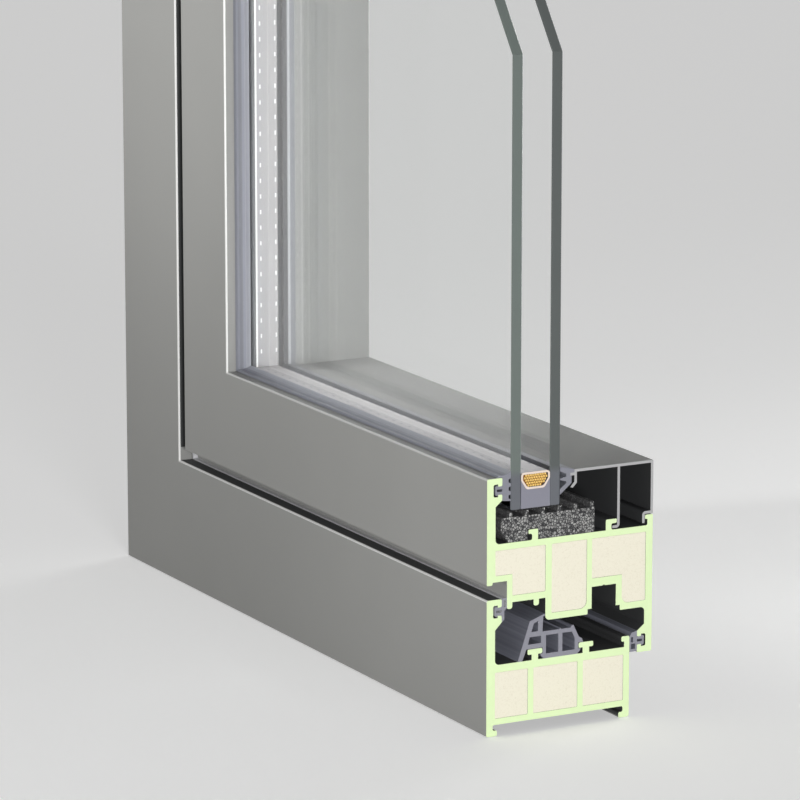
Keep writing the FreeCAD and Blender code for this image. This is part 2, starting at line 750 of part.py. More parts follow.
def sealant_section():
    """The sealant below the spacer, flush with the glass edges."""
    return [[
        (outer_glass_back, glass_edge),
        (inner_glass, glass_edge),
        (inner_glass, spacer_shoulder),
        (inner_glass - size.spacer_taper, spacer_bottom, size.spacer_round),
        (outer_glass_back + size.spacer_taper, spacer_bottom, size.spacer_round),
        (outer_glass_back, spacer_shoulder),
    ]]


def origin_plane(body, role):
    """One of a body's own origin planes."""
    return next(item for item in body.Origin.OriginFeatures if item.Role == role)


def coordinate(kind, vertex, term):
    """A dimension for one coordinate of a vertex from the sketch's origin, and its formula."""
    if abs(term.value) < 1e-9:
        axis = -2 if kind == "DistanceX" else -1
        return Sketcher.Constraint("PointOnObject", vertex, 1, axis), None
    if term.value > 0:
        return Sketcher.Constraint(kind, -1, 1, vertex, 1, term.value), term.text
    return Sketcher.Constraint(kind, vertex, 1, -1, 1, -term.value), f"-1 * {term.text}"


def draw_loop(sketch, points):
    """Draw one closed loop of lines and dimension it; sides along an axis stay along it."""
    start = len(sketch.Geometry)
    count = len(points)
    corners = [FreeCAD.Vector(point[0].value, point[1].value, 0) for point in points]
    lines = [Part.LineSegment(corners[i], corners[(i + 1) % count]) for i in range(count)]
    sketch.addGeometry(lines, False)
    rules = [
        (Sketcher.Constraint("Coincident", start + i, 2, start + (i + 1) % count, 1), None)
        for i in range(count)
    ]
    for i, point in enumerate(points):
        before = points[i - 1] if i else (ZERO, ZERO)
        for axis, kind, level in ((0, "DistanceX", "Vertical"), (1, "DistanceY", "Horizontal")):
            if i and before[axis].text == point[axis].text:
                rules.append((Sketcher.Constraint(level, start + i - 1), None))
            else:
                rules.append(coordinate(kind, start + i, point[axis]))
    first = sketch.ConstraintCount
    sketch.addConstraint([rule for rule, formula in rules])
    for number, (rule, formula) in enumerate(rules, start=first):
        if formula:
            sketch.setExpression(f"Constraints[{number}]", formula)


def new_sketch(body, role, name, loops):
    """A sketch on one of the body's origin planes."""
    sketch = body.newObject("Sketcher::SketchObject", name)
    sketch.AttachmentSupport = [(origin_plane(body, role), "")]
    sketch.MapMode = "FlatFace"
    for loop in loops:
        draw_loop(sketch, loop)
    return sketch


def shortest_side(points, index):
    """The shorter of the two sides that meet at a corner."""
    here = points[index]
    lengths = []
    for other in (points[index - 1], points[(index + 1) % len(points)]):
        across = other[0].value - here[0].value
        up = other[1].value - here[1].value
        lengths.append((across ** 2 + up ** 2) ** 0.5)
    return min(lengths)


def long_edge(shape, corner):
    """The name of the edge that the pad drew from one corner of the section."""
    for number, edge in enumerate(shape.Edges, start=1):
        ends = edge.Vertexes
        if len(ends) == 2 and all(
            abs(end.Y - corner[0].value) < 1e-4 and abs(end.Z - corner[1].value) < 1e-4
            for end in ends
        ):
            return f"Edge{number}"
    raise RuntimeError(f"no edge at {corner[0].value:.2f}, {corner[1].value:.2f}")


def round_edges(body, feature, loops):
    """Round the long edges of a bar; a radius is held under half of the sides it joins."""
    groups = {}
    for points in loops:
        for index, point in enumerate(points):
            if len(point) > 2:
                room = 0.45 * shortest_side(points, index)
                radius, corners, least = groups.get(point[2].text, (point[2], [], room))
                groups[point[2].text] = (radius, corners + [point], min(least, room))
    for number, (radius, corners, room) in enumerate(groups.values(), start=1):
        names = [long_edge(feature.Shape, corner) for corner in corners]
        fillet = body.newObject("PartDesign::Fillet", f"{body.Name}_round{number}")
        fillet.Base = (feature, names)
        fillet.setExpression("Radius", f"min({radius.text}; {room:.4f})")
        doc.recompute()
        feature = fillet
    return feature


class Run:
    """One way out from the outer corner: its length, its side and how its body is turned."""

    def __init__(self, name, length, side, turn):
        self.name = name
        self.length = length
        self.side = side
        self.turn = turn


SILL = Run("sill", size.sill_length, 1, 0)
JAMB = Run("jamb", size.jamb_height, -1, 90)
RUNS = [SILL, JAMB]


def place(body, depth, turn):
    """Put a body in the part's frame: origin at the middle of the sill's length and the depth."""
    body.Placement = FreeCAD.Placement(
        FreeCAD.Vector(0, 0, 0), FreeCAD.Rotation(FreeCAD.Vector(0, 1, 0), turn))
    body.setExpression("Placement.Base.x", f"-1 * {size.sill_length.text} / 2")
    body.setExpression("Placement.Base.y", f"{depth.text} - {sash_depth.text} / 2")


def mitre(body, run, name):
    """Cut the bar's end at 45 degrees, so that it meets the other run along the corner's diagonal."""
    margin = size.foot_height
    reach = sash_top + margin
    loop = [
        (ZERO - margin * run.side, ZERO - margin),
        (reach * run.side, reach),
        (ZERO - margin * run.side, reach),
    ]
    sketch = new_sketch(body, "XZ_Plane", f"{name}_mitre_line", [loop])
    cut = body.newObject("PartDesign::Pocket", f"{name}_mitre")
    cut.Profile = sketch
    cut.Type = "ThroughAll"
    cut.SideType = "Symmetric"


def bar(label, loops, run):
    """A mitred bar of one section along one run."""
    name = f"{label}_{run.name}"
    body = doc.addObject("PartDesign::Body", name)
    body.Label = name
    sketch = new_sketch(body, "YZ_Plane", f"{name}_section", loops)
    pad = body.newObject("PartDesign::Pad", f"{name}_pad")
    pad.Profile = sketch
    pad.Reversed = run.side < 0
    pad.setExpression("Length", run.length.text)
    doc.recompute()
    round_edges(body, pad, loops)
    mitre(body, run, name)
    place(body, ZERO, run.turn)
    return body


def glass_pane(name, front):
    """A pane from the corner of the glass to both sawn ends, with its top end corner cut off."""
    body = doc.addObject("PartDesign::Body", name)
    body.Label = name
    loop = [
        (glass_edge, glass_edge),
        (size.sill_length, glass_edge),
        (size.sill_length, size.jamb_height - size.glass_cut_rise),
        (size.sill_length - size.glass_cut_run, size.jamb_height),
        (glass_edge, size.jamb_height),
    ]
    sketch = new_sketch(body, "XZ_Plane", f"{name}_outline", [loop])
    pad = body.newObject("PartDesign::Pad", f"{name}_pad")
    pad.Profile = sketch
    pad.Reversed = True
    pad.setExpression("Length", size.pane.text)
    doc.recompute()
    arris = body.newObject("PartDesign::Chamfer", f"{name}_arris")
    sides = [
        f"Edge{number}" for number, edge in enumerate(pad.Shape.Edges, start=1)
        if abs(edge.Vertexes[0].Y - edge.Vertexes[-1].Y) < 1e-6
    ]
    arris.Base = (pad, sides)
    arris.setExpression("Size", f"min({size.glass_arris.text}; {size.pane.text} / 4)")
    place(body, front, 0)
    return body


def build():
    """Make every sub-part and return their bodies."""
    sections = [("frame_profile", frame_section()), ("sash_profile", sash_section())]
    for owner, chambers in (("frame", frame_chambers()), ("sash", sash_chambers())):
        for where, loop in zip(("outer", "middle", "inner"), chambers):
            sections.append((f"{owner}_foam_{where}", [loop]))
    sections += [
        ("glazing_bead", bead_section()),
        ("frame_gasket", frame_gasket_section()),
        ("centre_gasket", centre_gasket_section()),
        ("sash_gasket", sash_gasket_section()),
        ("outer_glazing_gasket", outer_glazing_section()),
        ("inner_glazing_gasket", inner_glazing_section()),
        ("rebate_strip", strip_section()),
        ("edge_spacer", spacer_section()),
        ("desiccant_fill", desiccant_section()),
        ("edge_sealant", sealant_section()),
    ]
    bodies = [bar(label, loops, run) for label, loops in sections for run in RUNS]
    bodies.append(glass_pane("outer_pane", outer_glass))
    bodies.append(glass_pane("inner_pane", inner_glass))
    doc.recompute()
    return bodies


def check(bodies):
    """Stop if any object failed or any sub-part isn't one valid solid."""
    for item in doc.Objects:
        if "Invalid" in item.State or "Error" in item.State:
            raise RuntimeError(f"{item.Label} failed: {item.State}")
    for body in bodies:
        shape = body.Shape
        if shape.isNull() or not shape.isValid() or len(shape.Solids) != 1:
            raise RuntimeError(f"{body.Label} isn't one valid solid")


def export(bodies):
    """Write each sub-part to its own file."""
    os.makedirs("parts", exist_ok=True)
    for body in bodies:
        body.Shape.exportStep(f"parts/{body.Label}.step")


parts = build()
check(parts)
export(parts)
for part in parts:
    print(f"{part.Label}: {part.Shape.Volume / 1000:.2f} cm3")
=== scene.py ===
"""Corner sample of an inward opening window: finishes, loose details and studio.

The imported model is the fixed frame. Its profiles, bead, gaskets, spacer and sealant keep their shapes and
get their finishes here. Foam bars, granule strips, panes and desiccant are replaced by detailed pieces that
stand where their nodes are. Lengths are in metres; patterns in the materials run in millimetres.
"""

import logging
import math
import random
from dataclasses import dataclass
from enum import Enum

import bmesh
import bpy
from mathutils import Matrix, Vector, noise


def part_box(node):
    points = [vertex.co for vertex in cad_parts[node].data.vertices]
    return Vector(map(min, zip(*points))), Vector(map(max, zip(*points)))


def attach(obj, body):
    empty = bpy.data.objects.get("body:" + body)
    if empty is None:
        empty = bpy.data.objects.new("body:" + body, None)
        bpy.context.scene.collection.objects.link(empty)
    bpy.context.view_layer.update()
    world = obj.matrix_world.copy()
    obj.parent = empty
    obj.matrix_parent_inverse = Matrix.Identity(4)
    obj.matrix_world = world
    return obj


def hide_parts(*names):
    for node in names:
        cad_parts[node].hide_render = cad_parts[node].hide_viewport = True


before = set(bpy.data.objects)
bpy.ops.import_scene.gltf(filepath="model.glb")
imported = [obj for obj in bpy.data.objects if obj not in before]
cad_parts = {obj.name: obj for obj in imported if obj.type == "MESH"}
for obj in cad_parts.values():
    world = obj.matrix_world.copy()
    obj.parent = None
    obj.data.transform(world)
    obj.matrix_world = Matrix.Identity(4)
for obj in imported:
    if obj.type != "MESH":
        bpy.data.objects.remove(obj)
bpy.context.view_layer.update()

MM = 0.001
IN_MM = 1 / MM
SAME_POINT = 0.002 * MM
IN_PLANE = 0.01 * MM
CUT_SLACK = 0.001 * MM
NO_LENGTH = 0.0001 * MM
FLAT_ANGLE = math.radians(0.5)
BODY = "root"
ORIGIN = (0.0, 0.0, 0.0)
WHITE = (1.0, 1.0, 1.0)
Colour = tuple[float, float, float]
Socket = bpy.types.NodeSocket
Sockets = bpy.types.NodeOutputs
BMesh = bmesh.types.BMesh
Piece = bpy.types.Object

log = logging.getLogger("window_corner")


class Run(Enum):
    """The two ways out from the outer corner; the value is the index of the axis along the run."""

    SILL = 0
    JAMB = 2

    @property
    def label(self) -> str:
        """The ending of this run's node names."""
        return self.name.lower()

    @property
    def along(self) -> int:
        """Index of the axis along the run."""
        return self.value

    @property
    def up(self) -> int:
        """Index of the axis that the section's height follows."""
        return 2 - self.value

    @property
    def other(self) -> "Run":
        """The run on the other side of the corner."""
        return Run(self.up)

    @property
    def end(self) -> float:
        """Where the run is sawn off, along its own axis."""
        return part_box(f"frame_profile_{self.label}")[1][self.along]

    def node(self, part: str) -> Piece:
        """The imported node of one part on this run."""
        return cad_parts[f"{part}_{self.label}"]

    def point(self, along: float, depth: float, height: float) -> Vector:
        """A point from its place along the run, its depth and its place up the section.

        Args:
            along: coordinate on the run's own axis.
            depth: coordinate from the exterior to the interior.
            height: coordinate on the axis that the section's height follows.

        Returns:
            The point in the row frame.
        """
        place = Vector((0.0, depth, 0.0))
        place[self.along] = along
        place[self.up] = height
        return place


OUTER_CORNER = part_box("frame_profile_sill")[0]


def srgb(red: int, green: int, blue: int) -> Colour:
    """Turn a display colour, each channel from 0 to 255, into the linear one that shaders take."""
    shares = [value / 255 for value in (red, green, blue)]
    return tuple(s / 12.92 if s <= 0.04045 else ((s + 0.055) / 1.055) ** 2.4 for s in shares)


class Graph:
    """A node tree that is built one node at a time, each with its inputs given as values or sockets."""

    def __init__(self, tree: bpy.types.NodeTree) -> None:
        """Work on a tree."""
        self.tree = tree

    def add(self, kind: str, inputs: dict | None = None, **settings: object) -> bpy.types.Node:
        """Add a node.

        Args:
            kind: the node's type name without its "ShaderNode" start.
            inputs: sockets by name or index, each with a value or the socket to link from.
            settings: attributes of the node.

        Returns:
            The new node.
        """
        node = self.tree.nodes.new(f"ShaderNode{kind}")
        for name, value in settings.items():
            setattr(node, name, value)
        self.fill(node, inputs or {})
        return node

    def fill(self, node: bpy.types.Node, inputs: dict) -> None:
        """Set or link a node's inputs.

        Args:
            node: the node to feed.
            inputs: sockets by name or index, each with a value or the socket to link from.
        """
        for key, value in inputs.items():
            target = node.inputs[key]
            if isinstance(value, bpy.types.NodeSocket):
                self.tree.links.new(value, target)
            elif target.type == "RGBA":
                target.default_value = (*value, 1.0)
            else:
                target.default_value = value

    def math(self, operation: str, *values: object) -> Socket:
        """Add a Math node and return its result."""
        return self.add("Math", dict(enumerate(values)), operation=operation).outputs[0]

    def above(self, value: object, edge: float, width: float) -> Socket:
        """A mask that is 0 below an edge and 1 above it.

        Args:
            value: the number to test.
            edge: where the mask turns.
            width: the width of the turn.

        Returns:
            The mask, from 0 to 1.
        """
        inputs = {0: value, 1: edge - width / 2, 2: edge + width / 2}
        return self.add("MapRange", inputs, clamp=True).outputs[0]

    def below(self, value: object, edge: float, width: float) -> Socket:
        """A mask that is 1 below an edge and 0 above it; see `above`."""
        return self.math("SUBTRACT", 1.0, self.above(value, edge, width))

    def blend(self, share: object, first: object, second: object) -> Socket:
        """Mix two colours: all `first` at share 0, all `second` at share 1."""
        return self.add("Mix", {0: share, 6: first, 7: second}, data_type="RGBA").outputs[2]

    def lerp(self, share: object, first: object, second: object) -> Socket:
        """Mix two numbers: all `first` at share 0, all `second` at share 1."""
        return self.add("Mix", {0: share, 2: first, 3: second}, data_type="FLOAT").outputs[0]

    def toned(self, colour: object, tone: Socket) -> Socket:
        """Multiply a colour by a tone."""
        grey = self.add("CombineColor", {0: tone, 1: tone, 2: tone}).outputs[0]
        return self.add(
            "Mix", {0: 1.0, 6: colour, 7: grey}, data_type="RGBA", blend_type="MULTIPLY"
        ).outputs[2]

    def principled(self, **inputs: object) -> Socket:
        """Add the Principled shader, its inputs named with underscores for spaces."""
        named = {key.replace("_", " "): value for key, value in inputs.items()}
        return self.add("BsdfPrincipled", named).outputs[0]

    def bump(self, height: object, strength: float = 0.3, distance: float = 0.05 * MM) -> Socket:
        """Turn a height into a normal; the defaults suit a fine grain.

        Args:
            height: the surface's height, about 0 to 1.
            strength: share of the effect.
            distance: real height of 1, in metres.

        Returns:
            The normal.
        """
        return self.add("Bump", {"Height": height, "Strength": strength, "Distance": distance}).outputs[0]


class EffectGroup:
    """A shader node group that several materials place, each with its own values.

    `takes` holds its inputs with the values that they have unless a material gives others, and `gives` holds
    its outputs.
    """

    name = "effect"
    takes: dict[str, object] = {}
    gives: tuple[str, ...] = ()

    def __init__(self) -> None:
        """Make the group with its named sockets, and wire its inside."""
        self.tree = bpy.data.node_groups.new(self.name, "ShaderNodeTree")
        for label, value in self.takes.items():
            self.socket(label, "INPUT").default_value = value
        for label in self.gives:
            self.socket(label, "OUTPUT")
        graph = Graph(self.tree)
        given = self.tree.nodes.new("NodeGroupInput").outputs
        out = self.tree.nodes.new("NodeGroupOutput")
        graph.fill(out, self.wire(graph, given))

    def socket(self, label: str, side: str) -> bpy.types.NodeTreeInterfaceSocket:
        """Make a socket of the group: a vector if it is a point, and otherwise a number."""
        kind = "Vector" if label == "Point" else "Float"
        return self.tree.interface.new_socket(label, in_out=side, socket_type=f"NodeSocket{kind}")

    def wire(self, graph: Graph, given: Sockets) -> dict[str, Socket]:
        """Build the group's inside.

        Args:
            graph: the group's own tree.
            given: the group's input sockets.

        Returns:
            The socket behind each named output.
        """
        raise NotImplementedError

    def place(self, graph: Graph, **values: object) -> Sockets:
        """Put the group into a material.

        Args:
            graph: the material's tree.
            values: the group's inputs, named in lower case.

        Returns:
            The placed node's outputs.
        """
        node = graph.tree.nodes.new("ShaderNodeGroup")
        node.node_tree = self.tree
        graph.fill(node, {key.replace("_", " ").capitalize(): value for key, value in values.items()})
        return node.outputs


class SectionPlace(EffectGroup):
    """Where a point lies in the section: depth, height and length from the corner, and the sawn ends."""

    name = "section place"
    takes = {
        "Corner": OUTER_CORNER.x,
        "Exterior": OUTER_CORNER.y,
        "Sill end": Run.SILL.end,
        "Jamb end": Run.JAMB.end,
        "Sawn depth": 0.05 * MM,
    }
    gives = ("Point", "Depth", "Height", "Length", "Sawn")

    def wire(self, graph: Graph, given: Sockets) -> dict[str, Socket]:
        """Height is the lesser and length the greater of the two distances from the outer corner."""
        place = graph.add("TexCoord").outputs["Object"]
        axes = graph.add("SeparateXYZ", {0: place}).outputs
        across = graph.math("SUBTRACT", axes["X"], given["Corner"])
        depth = graph.math("SUBTRACT", axes["Y"], given["Exterior"])
        to_sill_end = graph.math("SUBTRACT", given["Sill end"], axes["X"])
        to_jamb_end = graph.math("SUBTRACT", given["Jamb end"], axes["Z"])
        nearest = graph.math("MINIMUM", to_sill_end, to_jamb_end)
        point = graph.add("VectorMath", {0: place, 1: (IN_MM, IN_MM, IN_MM)}, operation="MULTIPLY")
        return {
            "Point": point.outputs[0],
            "Depth": graph.math("MULTIPLY", depth, IN_MM),
            "Height": graph.math("MULTIPLY", graph.math("MINIMUM", across, axes["Z"]), IN_MM),
            "Length": graph.math("MULTIPLY", graph.math("MAXIMUM", across, axes["Z"]), IN_MM),
            "Sawn": graph.math("LESS_THAN", nearest, given["Sawn depth"]),
        }


class OutsideFaces(EffectGroup):
    """Masks of the faces at the sides, of those on top and of the rounded edges between the two."""

    name = "outside faces"
    takes = {"Depth": 0.0, "Height": 0.0, "Back": 0.0, "Low": 0.0, "Top": 0.0, "Rounding": 1.0}
    gives = ("Sides", "Top", "Edge")

    def wire(self, graph: Graph, given: Sockets) -> dict[str, Socket]:
        """Test the distances to the four sides of the outline's box, whose front is at depth 0."""
        to_back = graph.math("SUBTRACT", given["Back"], given["Depth"])
        to_low = graph.math("SUBTRACT", given["Height"], given["Low"])
        to_top = graph.math("SUBTRACT", given["Top"], given["Height"])
        across = graph.math("MINIMUM", given["Depth"], to_back)
        nearest = graph.math("MINIMUM", across, to_low)
        farther = graph.math("MAXIMUM", across, to_top)
        return {
            "Sides": graph.math("LESS_THAN", nearest, given["Rounding"]),
            "Top": graph.math("LESS_THAN", to_top, given["Rounding"]),
            "Edge": graph.math("LESS_THAN", farther, given["Rounding"]),
        }


class Mottle(EffectGroup):
    """Slow and fine changes of tone, and a matching height, as on painted, cast or sawn surfaces."""

    name = "mottle"
    takes = {"Point": ORIGIN, "Broad size": 60.0, "Fine size": 0.5, "Fine share": 0.5, "Contrast": 0.1}
    gives = ("Tone", "Height")

    def wire(self, graph: Graph, given: Sockets) -> dict[str, Socket]:
        """Mix a broad and a fine noise; the tone lies about 1."""
        broad_scale = graph.math("DIVIDE", 1.0, given["Broad size"])
        fine_scale = graph.math("DIVIDE", 1.0, given["Fine size"])
        broad = graph.add("TexNoise", {"Vector": given["Point"], "Scale": broad_scale, "Detail": 2.0})
        fine = graph.add("TexNoise", {"Vector": given["Point"], "Scale": fine_scale, "Detail": 3.0})
        mixed = graph.lerp(given["Fine share"], broad.outputs[0], fine.outputs[0])
        swing = graph.math("MULTIPLY", graph.math("SUBTRACT", mixed, 0.5), given["Contrast"])
        return {"Tone": graph.math("ADD", swing, 1.0), "Height": fine.outputs[0]}


class Granules(EffectGroup):
    """Packed grains: a random tone in each, dark lines between them, and a rounded height."""

    name = "granules"
    takes = {"Point": ORIGIN, "Grain": 1.0, "Gap": 0.1}
    gives = ("Tone", "Gap", "Height")

    def wire(self, graph: Graph, given: Sockets) -> dict[str, Socket]:
        """Take the tone from the nearest grain, and the gap from the distance to the grain's rim."""
        inputs = {"Vector": given["Point"], "Scale": graph.math("DIVIDE", 1.0, given["Grain"])}
        grains = graph.add("TexVoronoi", inputs).outputs
        rims = graph.add("TexVoronoi", inputs, feature="DISTANCE_TO_EDGE").outputs
        return {
            "Tone": graph.add("SeparateColor", {0: grains["Color"]}).outputs[0],
            "Gap": graph.math("LESS_THAN", rims["Distance"], given["Gap"]),
            "Height": graph.math("SUBTRACT", 1.0, grains["Distance"]),
        }


class Streaks(EffectGroup):
    """Tones that change across the section but not along the run, as a die leaves them."""

    name = "streaks"
    takes = {"Depth": 0.0, "Height": 0.0, "Width": 2.0, "Contrast": 0.3}
    gives = ("Tone",)

    def wire(self, graph: Graph, given: Sockets) -> dict[str, Socket]:
        """Take a noise over depth and height; the tone lies about 1."""
        depth = graph.math("DIVIDE", given["Depth"], given["Width"])
        height = graph.math("DIVIDE", given["Height"], given["Width"])
        place = graph.add("CombineXYZ", {0: depth, 1: height}).outputs[0]
        lines = graph.add("TexNoise", {"Vector": place, "Scale": 1.0, "Detail": 1.0}).outputs[0]
        swing = graph.math("MULTIPLY", graph.math("SUBTRACT", lines, 0.5), given["Contrast"])
        return {"Tone": graph.math("ADD", swing, 1.0)}


class SawMarks(EffectGroup):
    """Fine arcs that a saw blade leaves across a cut face."""

    name = "saw marks"
    takes = {"Depth": 0.0, "Height": 0.0, "Pitch": 0.8, "Reach": 150.0}
    gives = ("Height",)

    def wire(self, graph: Graph, given: Sockets) -> dict[str, Socket]:
        """Make rings of uneven height round a centre that lies far in front."""
        centre = graph.math("ADD", given["Depth"], given["Reach"])
        depth_square = graph.math("POWER", centre, 2.0)
        height_square = graph.math("POWER", given["Height"], 2.0)
        radius = graph.math("SQRT", graph.math("ADD", depth_square, height_square))
        place = graph.add("CombineXYZ", {0: graph.math("DIVIDE", radius, given["Pitch"])}).outputs[0]
        return {"Height": graph.add("TexNoise", {"Vector": place, "Scale": 1.0, "Detail": 4.0}).outputs[0]}


SECTION = SectionPlace()
OUTSIDE = OutsideFaces()
MOTTLE = Mottle()
GRANULES = Granules()
STREAKS = Streaks()
SAW_MARKS = SawMarks()


@dataclass(frozen=True)
class Grain:
    """Sizes in millimetres, mix and contrast of a surface's mottle; the defaults suit moulded plastic."""

    broad: float = 20.0
    fine: float = 0.4
    fine_share: float = 0.6
    contrast: float = 0.12

    def over(self, graph: Graph, place: Sockets) -> Sockets:
        """Put the mottle into a material.

        Args:
            graph: the material's tree.
            place: the outputs of its section place.

        Returns:
            The mottle's tone and height.
        """
        return MOTTLE.place(
            graph, point=place["Point"], broad_size=self.broad, fine_size=self.fine,
            fine_share=self.fine_share, contrast=self.contrast,
        )


@dataclass(frozen=True)
class Finish:
    """A surface finish; each kind wires its own shader."""

    title: str

    def shader(self, graph: Graph) -> Socket:
        """Wire the finish.

        Args:
            graph: the material's tree.

        Returns:
            The finish's shader.
        """
        raise NotImplementedError

    def material(self) -> bpy.types.Material:
        """The finish as a material, made when it is first asked for.

        Returns:
            The material with this finish's title.
        """
        found = bpy.data.materials.get(self.title)
        if found:
            return found
        made = bpy.data.materials.new(self.title)
        made.use_nodes = True
        made.node_tree.nodes.clear()
        graph = Graph(made.node_tree)
        graph.add("OutputMaterial", {"Surface": self.shader(graph)})
        return made


@dataclass(frozen=True)
class ProfileFinish(Finish):
    """Hollow profile: coated outside, painted shade inside its grooves and rebates, pale resin where sawn.

    The rounded edges along the top get a light colour, a painted highlight, and gloss. The box from the
    exterior to
    `back` and from `low` to `top`, in millimetres, holds the faces that get a dark colour, painted shade,
    not the coat. `nose` is the depth to which the faces below `nose_top` keep the coat too. The top gets a
    darker copy of the coat, painted shade, over a set length from the corner, and the dark colour beyond:
    the sash's painted shadow.
    """

    back: float
    low: float
    top: float
    nose: float = 0.0
    nose_top: float = 0.0
    # length from the corner beyond which the top gets the dark colour: the sash's painted shadow
    top_reach: float = 1000.0
    rounding: float = 0.75
    coat: Colour = srgb(166, 166, 163)
    # darker copy of the coat on the top faces: painted shade
    shaded_top_coat: Colour = srgb(151, 151, 149)
    # light colour of the rounded edges: a painted highlight
    edge_highlight: Colour = srgb(240, 240, 238)
    # dark colour of grooves, rebates and shadowed tops: painted shade
    inside: Colour = srgb(70, 71, 72)
    sawn: Colour = srgb(230, 251, 198)
    paint: Grain = Grain(broad=70.0, fine=0.35, fine_share=0.45, contrast=0.16)
    fibres: Grain = Grain(broad=3.0, fine=0.3, fine_share=0.6, contrast=0.12)
    saw_pitch: float = 0.7
    coat_smoothest: float = 0.42
    coat_roughest: float = 0.56
    inside_roughness: float = 0.6
    sawn_roughness: float = 0.75
    paint_relief: float = 0.35
    relief: float = 0.35
    gloss: float = 0.35
    edge_gloss: float = 0.8
    edge_roughness: float = 0.12

    def shader(self, graph: Graph) -> Socket:
        """Mix the three surfaces by the point's place in the section."""
        place = SECTION.place(graph)
        sides = OUTSIDE.place(
            graph, depth=place["Depth"], height=place["Height"], back=self.back, low=self.low, top=self.top,
            rounding=self.rounding,
        )
        # Beyond that length the top gets the dark colour: a painted shadow of the sash.
        top_unshadowed = graph.math("LESS_THAN", place["Length"], self.top_reach)
        on_top = graph.math("MULTIPLY", sides["Top"], top_unshadowed)
        outside = graph.math("MAXIMUM", sides["Sides"], on_top)
        if self.nose:
            in_front = graph.math("LESS_THAN", place["Depth"], self.nose)
            under = graph.math("LESS_THAN", place["Height"], self.nose_top)
            outside = graph.math("MAXIMUM", outside, graph.math("MULTIPLY", in_front, under))
        paint = self.paint.over(graph, place)
        fibres = self.fibres.over(graph, place)
        marks = SAW_MARKS.place(graph, depth=place["Depth"], height=place["Height"], pitch=self.saw_pitch)
        # Faces in grooves and rebates get the dark colour: painted shade.
        surface = graph.blend(outside, self.inside, self.coat)
        # The top faces get a darker copy of the coat: painted shade.
        surface = graph.blend(on_top, surface, self.shaded_top_coat)
        # The rounded edges get a light colour: a painted highlight.
        surface = graph.blend(sides["Edge"], surface, self.edge_highlight)
        surface = graph.toned(surface, paint["Tone"])
        cut = graph.toned(self.sawn, fibres["Tone"])
        coat_roughness = graph.lerp(paint["Height"], self.coat_smoothest, self.coat_roughest)
        roughness = graph.lerp(outside, self.inside_roughness, coat_roughness)
        pimples = graph.math("MULTIPLY", paint["Height"], self.paint_relief)
        skin = graph.math("SUBTRACT", 1.0, place["Sawn"])
        on_edge = graph.math("MULTIPLY", sides["Edge"], skin)
        return graph.principled(
            Base_Color=graph.blend(place["Sawn"], surface, cut),
            Roughness=graph.lerp(place["Sawn"], roughness, self.sawn_roughness),
            Specular_IOR_Level=self.gloss,
            Coat_Weight=graph.math("MULTIPLY", on_edge, self.edge_gloss),
            Coat_Roughness=self.edge_roughness,
            Normal=graph.bump(graph.lerp(place["Sawn"], pimples, marks["Height"]), self.relief),
        )


@dataclass(frozen=True)
class FoamFinish(Finish):
    """Fine cell foam: cream, with the rims of about a third of its cells faintly darker."""

    colour: Colour = srgb(243, 238, 219)
    pit: Colour = srgb(214, 206, 180)
    cell: float = 0.7
    rim: float = 0.06
    first_pitted: float = 0.7
    pitted_turn: float = 0.3
    pit_share: float = 0.35
    roughness: float = 0.9
    relief: float = 0.25
    cell_height: float = 0.1 * MM

    def shader(self, graph: Graph) -> Socket:
        """Darken the rims of some cells and sink them a little."""
        place = SECTION.place(graph)
        cells = GRANULES.place(graph, point=place["Point"], grain=self.cell, gap=self.rim)
        some = graph.above(cells["Tone"], self.first_pitted, self.pitted_turn)
        pitted = graph.math("MULTIPLY", graph.math("MULTIPLY", cells["Gap"], some), self.pit_share)
        return graph.principled(
            Base_Color=graph.blend(pitted, self.colour, self.pit),
            Roughness=self.roughness,
            Normal=graph.bump(cells["Height"], self.relief, self.cell_height),
        )


@dataclass(frozen=True)
class RubberFinish(Finish):
    """Extruded rubber: `skin` on its long faces and `cut` where it is cut.

    A seal that bears on a pane has its `lip` colour within `lip_width` millimetres of the depth `pane`, with
    a turn of `lip_turn`, and a light band of `ridge_width` beyond the lip. The light default lip is a
    painted highlight on the seal's tip, a dark lip is painted shade on its face against the pane, and the
    light band is a painted highlight on its top edge.
    """

    skin: Colour
    cut: Colour
    pane: float = 0.0
    # colour near the pane; the default is a painted highlight on the seal's tip
    lip: Colour = srgb(168, 170, 178)
    lip_width: float = 0.0
    lip_turn: float = 0.3
    # light band beyond the lip: a painted highlight
    ridge_highlight: Colour = srgb(196, 197, 201)
    ridge_width: float = 0.0
    ridge_turn: float = 0.2
    streaks: float = 0.9
    streak_width: float = 1.6
    grain: Grain = Grain(broad=25.0, fine=0.4, fine_share=0.5, contrast=0.14)
    roughness: float = 0.45
    cut_roughness: float = 0.7
    relief: float = 0.2

    def shader(self, graph: Graph) -> Socket:
        """Mix skin and cut, and draw fine lines along the run."""
        place = SECTION.place(graph)
        grain = self.grain.over(graph, place)
        streaks = STREAKS.place(
            graph, depth=place["Depth"], height=place["Height"], width=self.streak_width,
            contrast=self.streaks,
        )
        skin = self.skin
        # Near the pane the skin gets the lip colour and the light band beyond it: painted light and shade.
        if self.lip_width:
            from_pane = graph.math("ABSOLUTE", graph.math("SUBTRACT", place["Depth"], self.pane))
            if self.ridge_width:
                on_ridge = graph.below(from_pane, self.lip_width + self.ridge_width, self.ridge_turn)
                skin = graph.blend(on_ridge, skin, self.ridge_highlight)
            skin = graph.blend(graph.below(from_pane, self.lip_width, self.lip_turn), skin, self.lip)
        colour = graph.blend(place["Sawn"], graph.toned(skin, streaks["Tone"]), self.cut)
        return graph.principled(
            Base_Color=graph.toned(colour, grain["Tone"]),
            Roughness=graph.lerp(place["Sawn"], self.roughness, self.cut_roughness),
            Normal=graph.bump(grain["Height"], self.relief),
        )


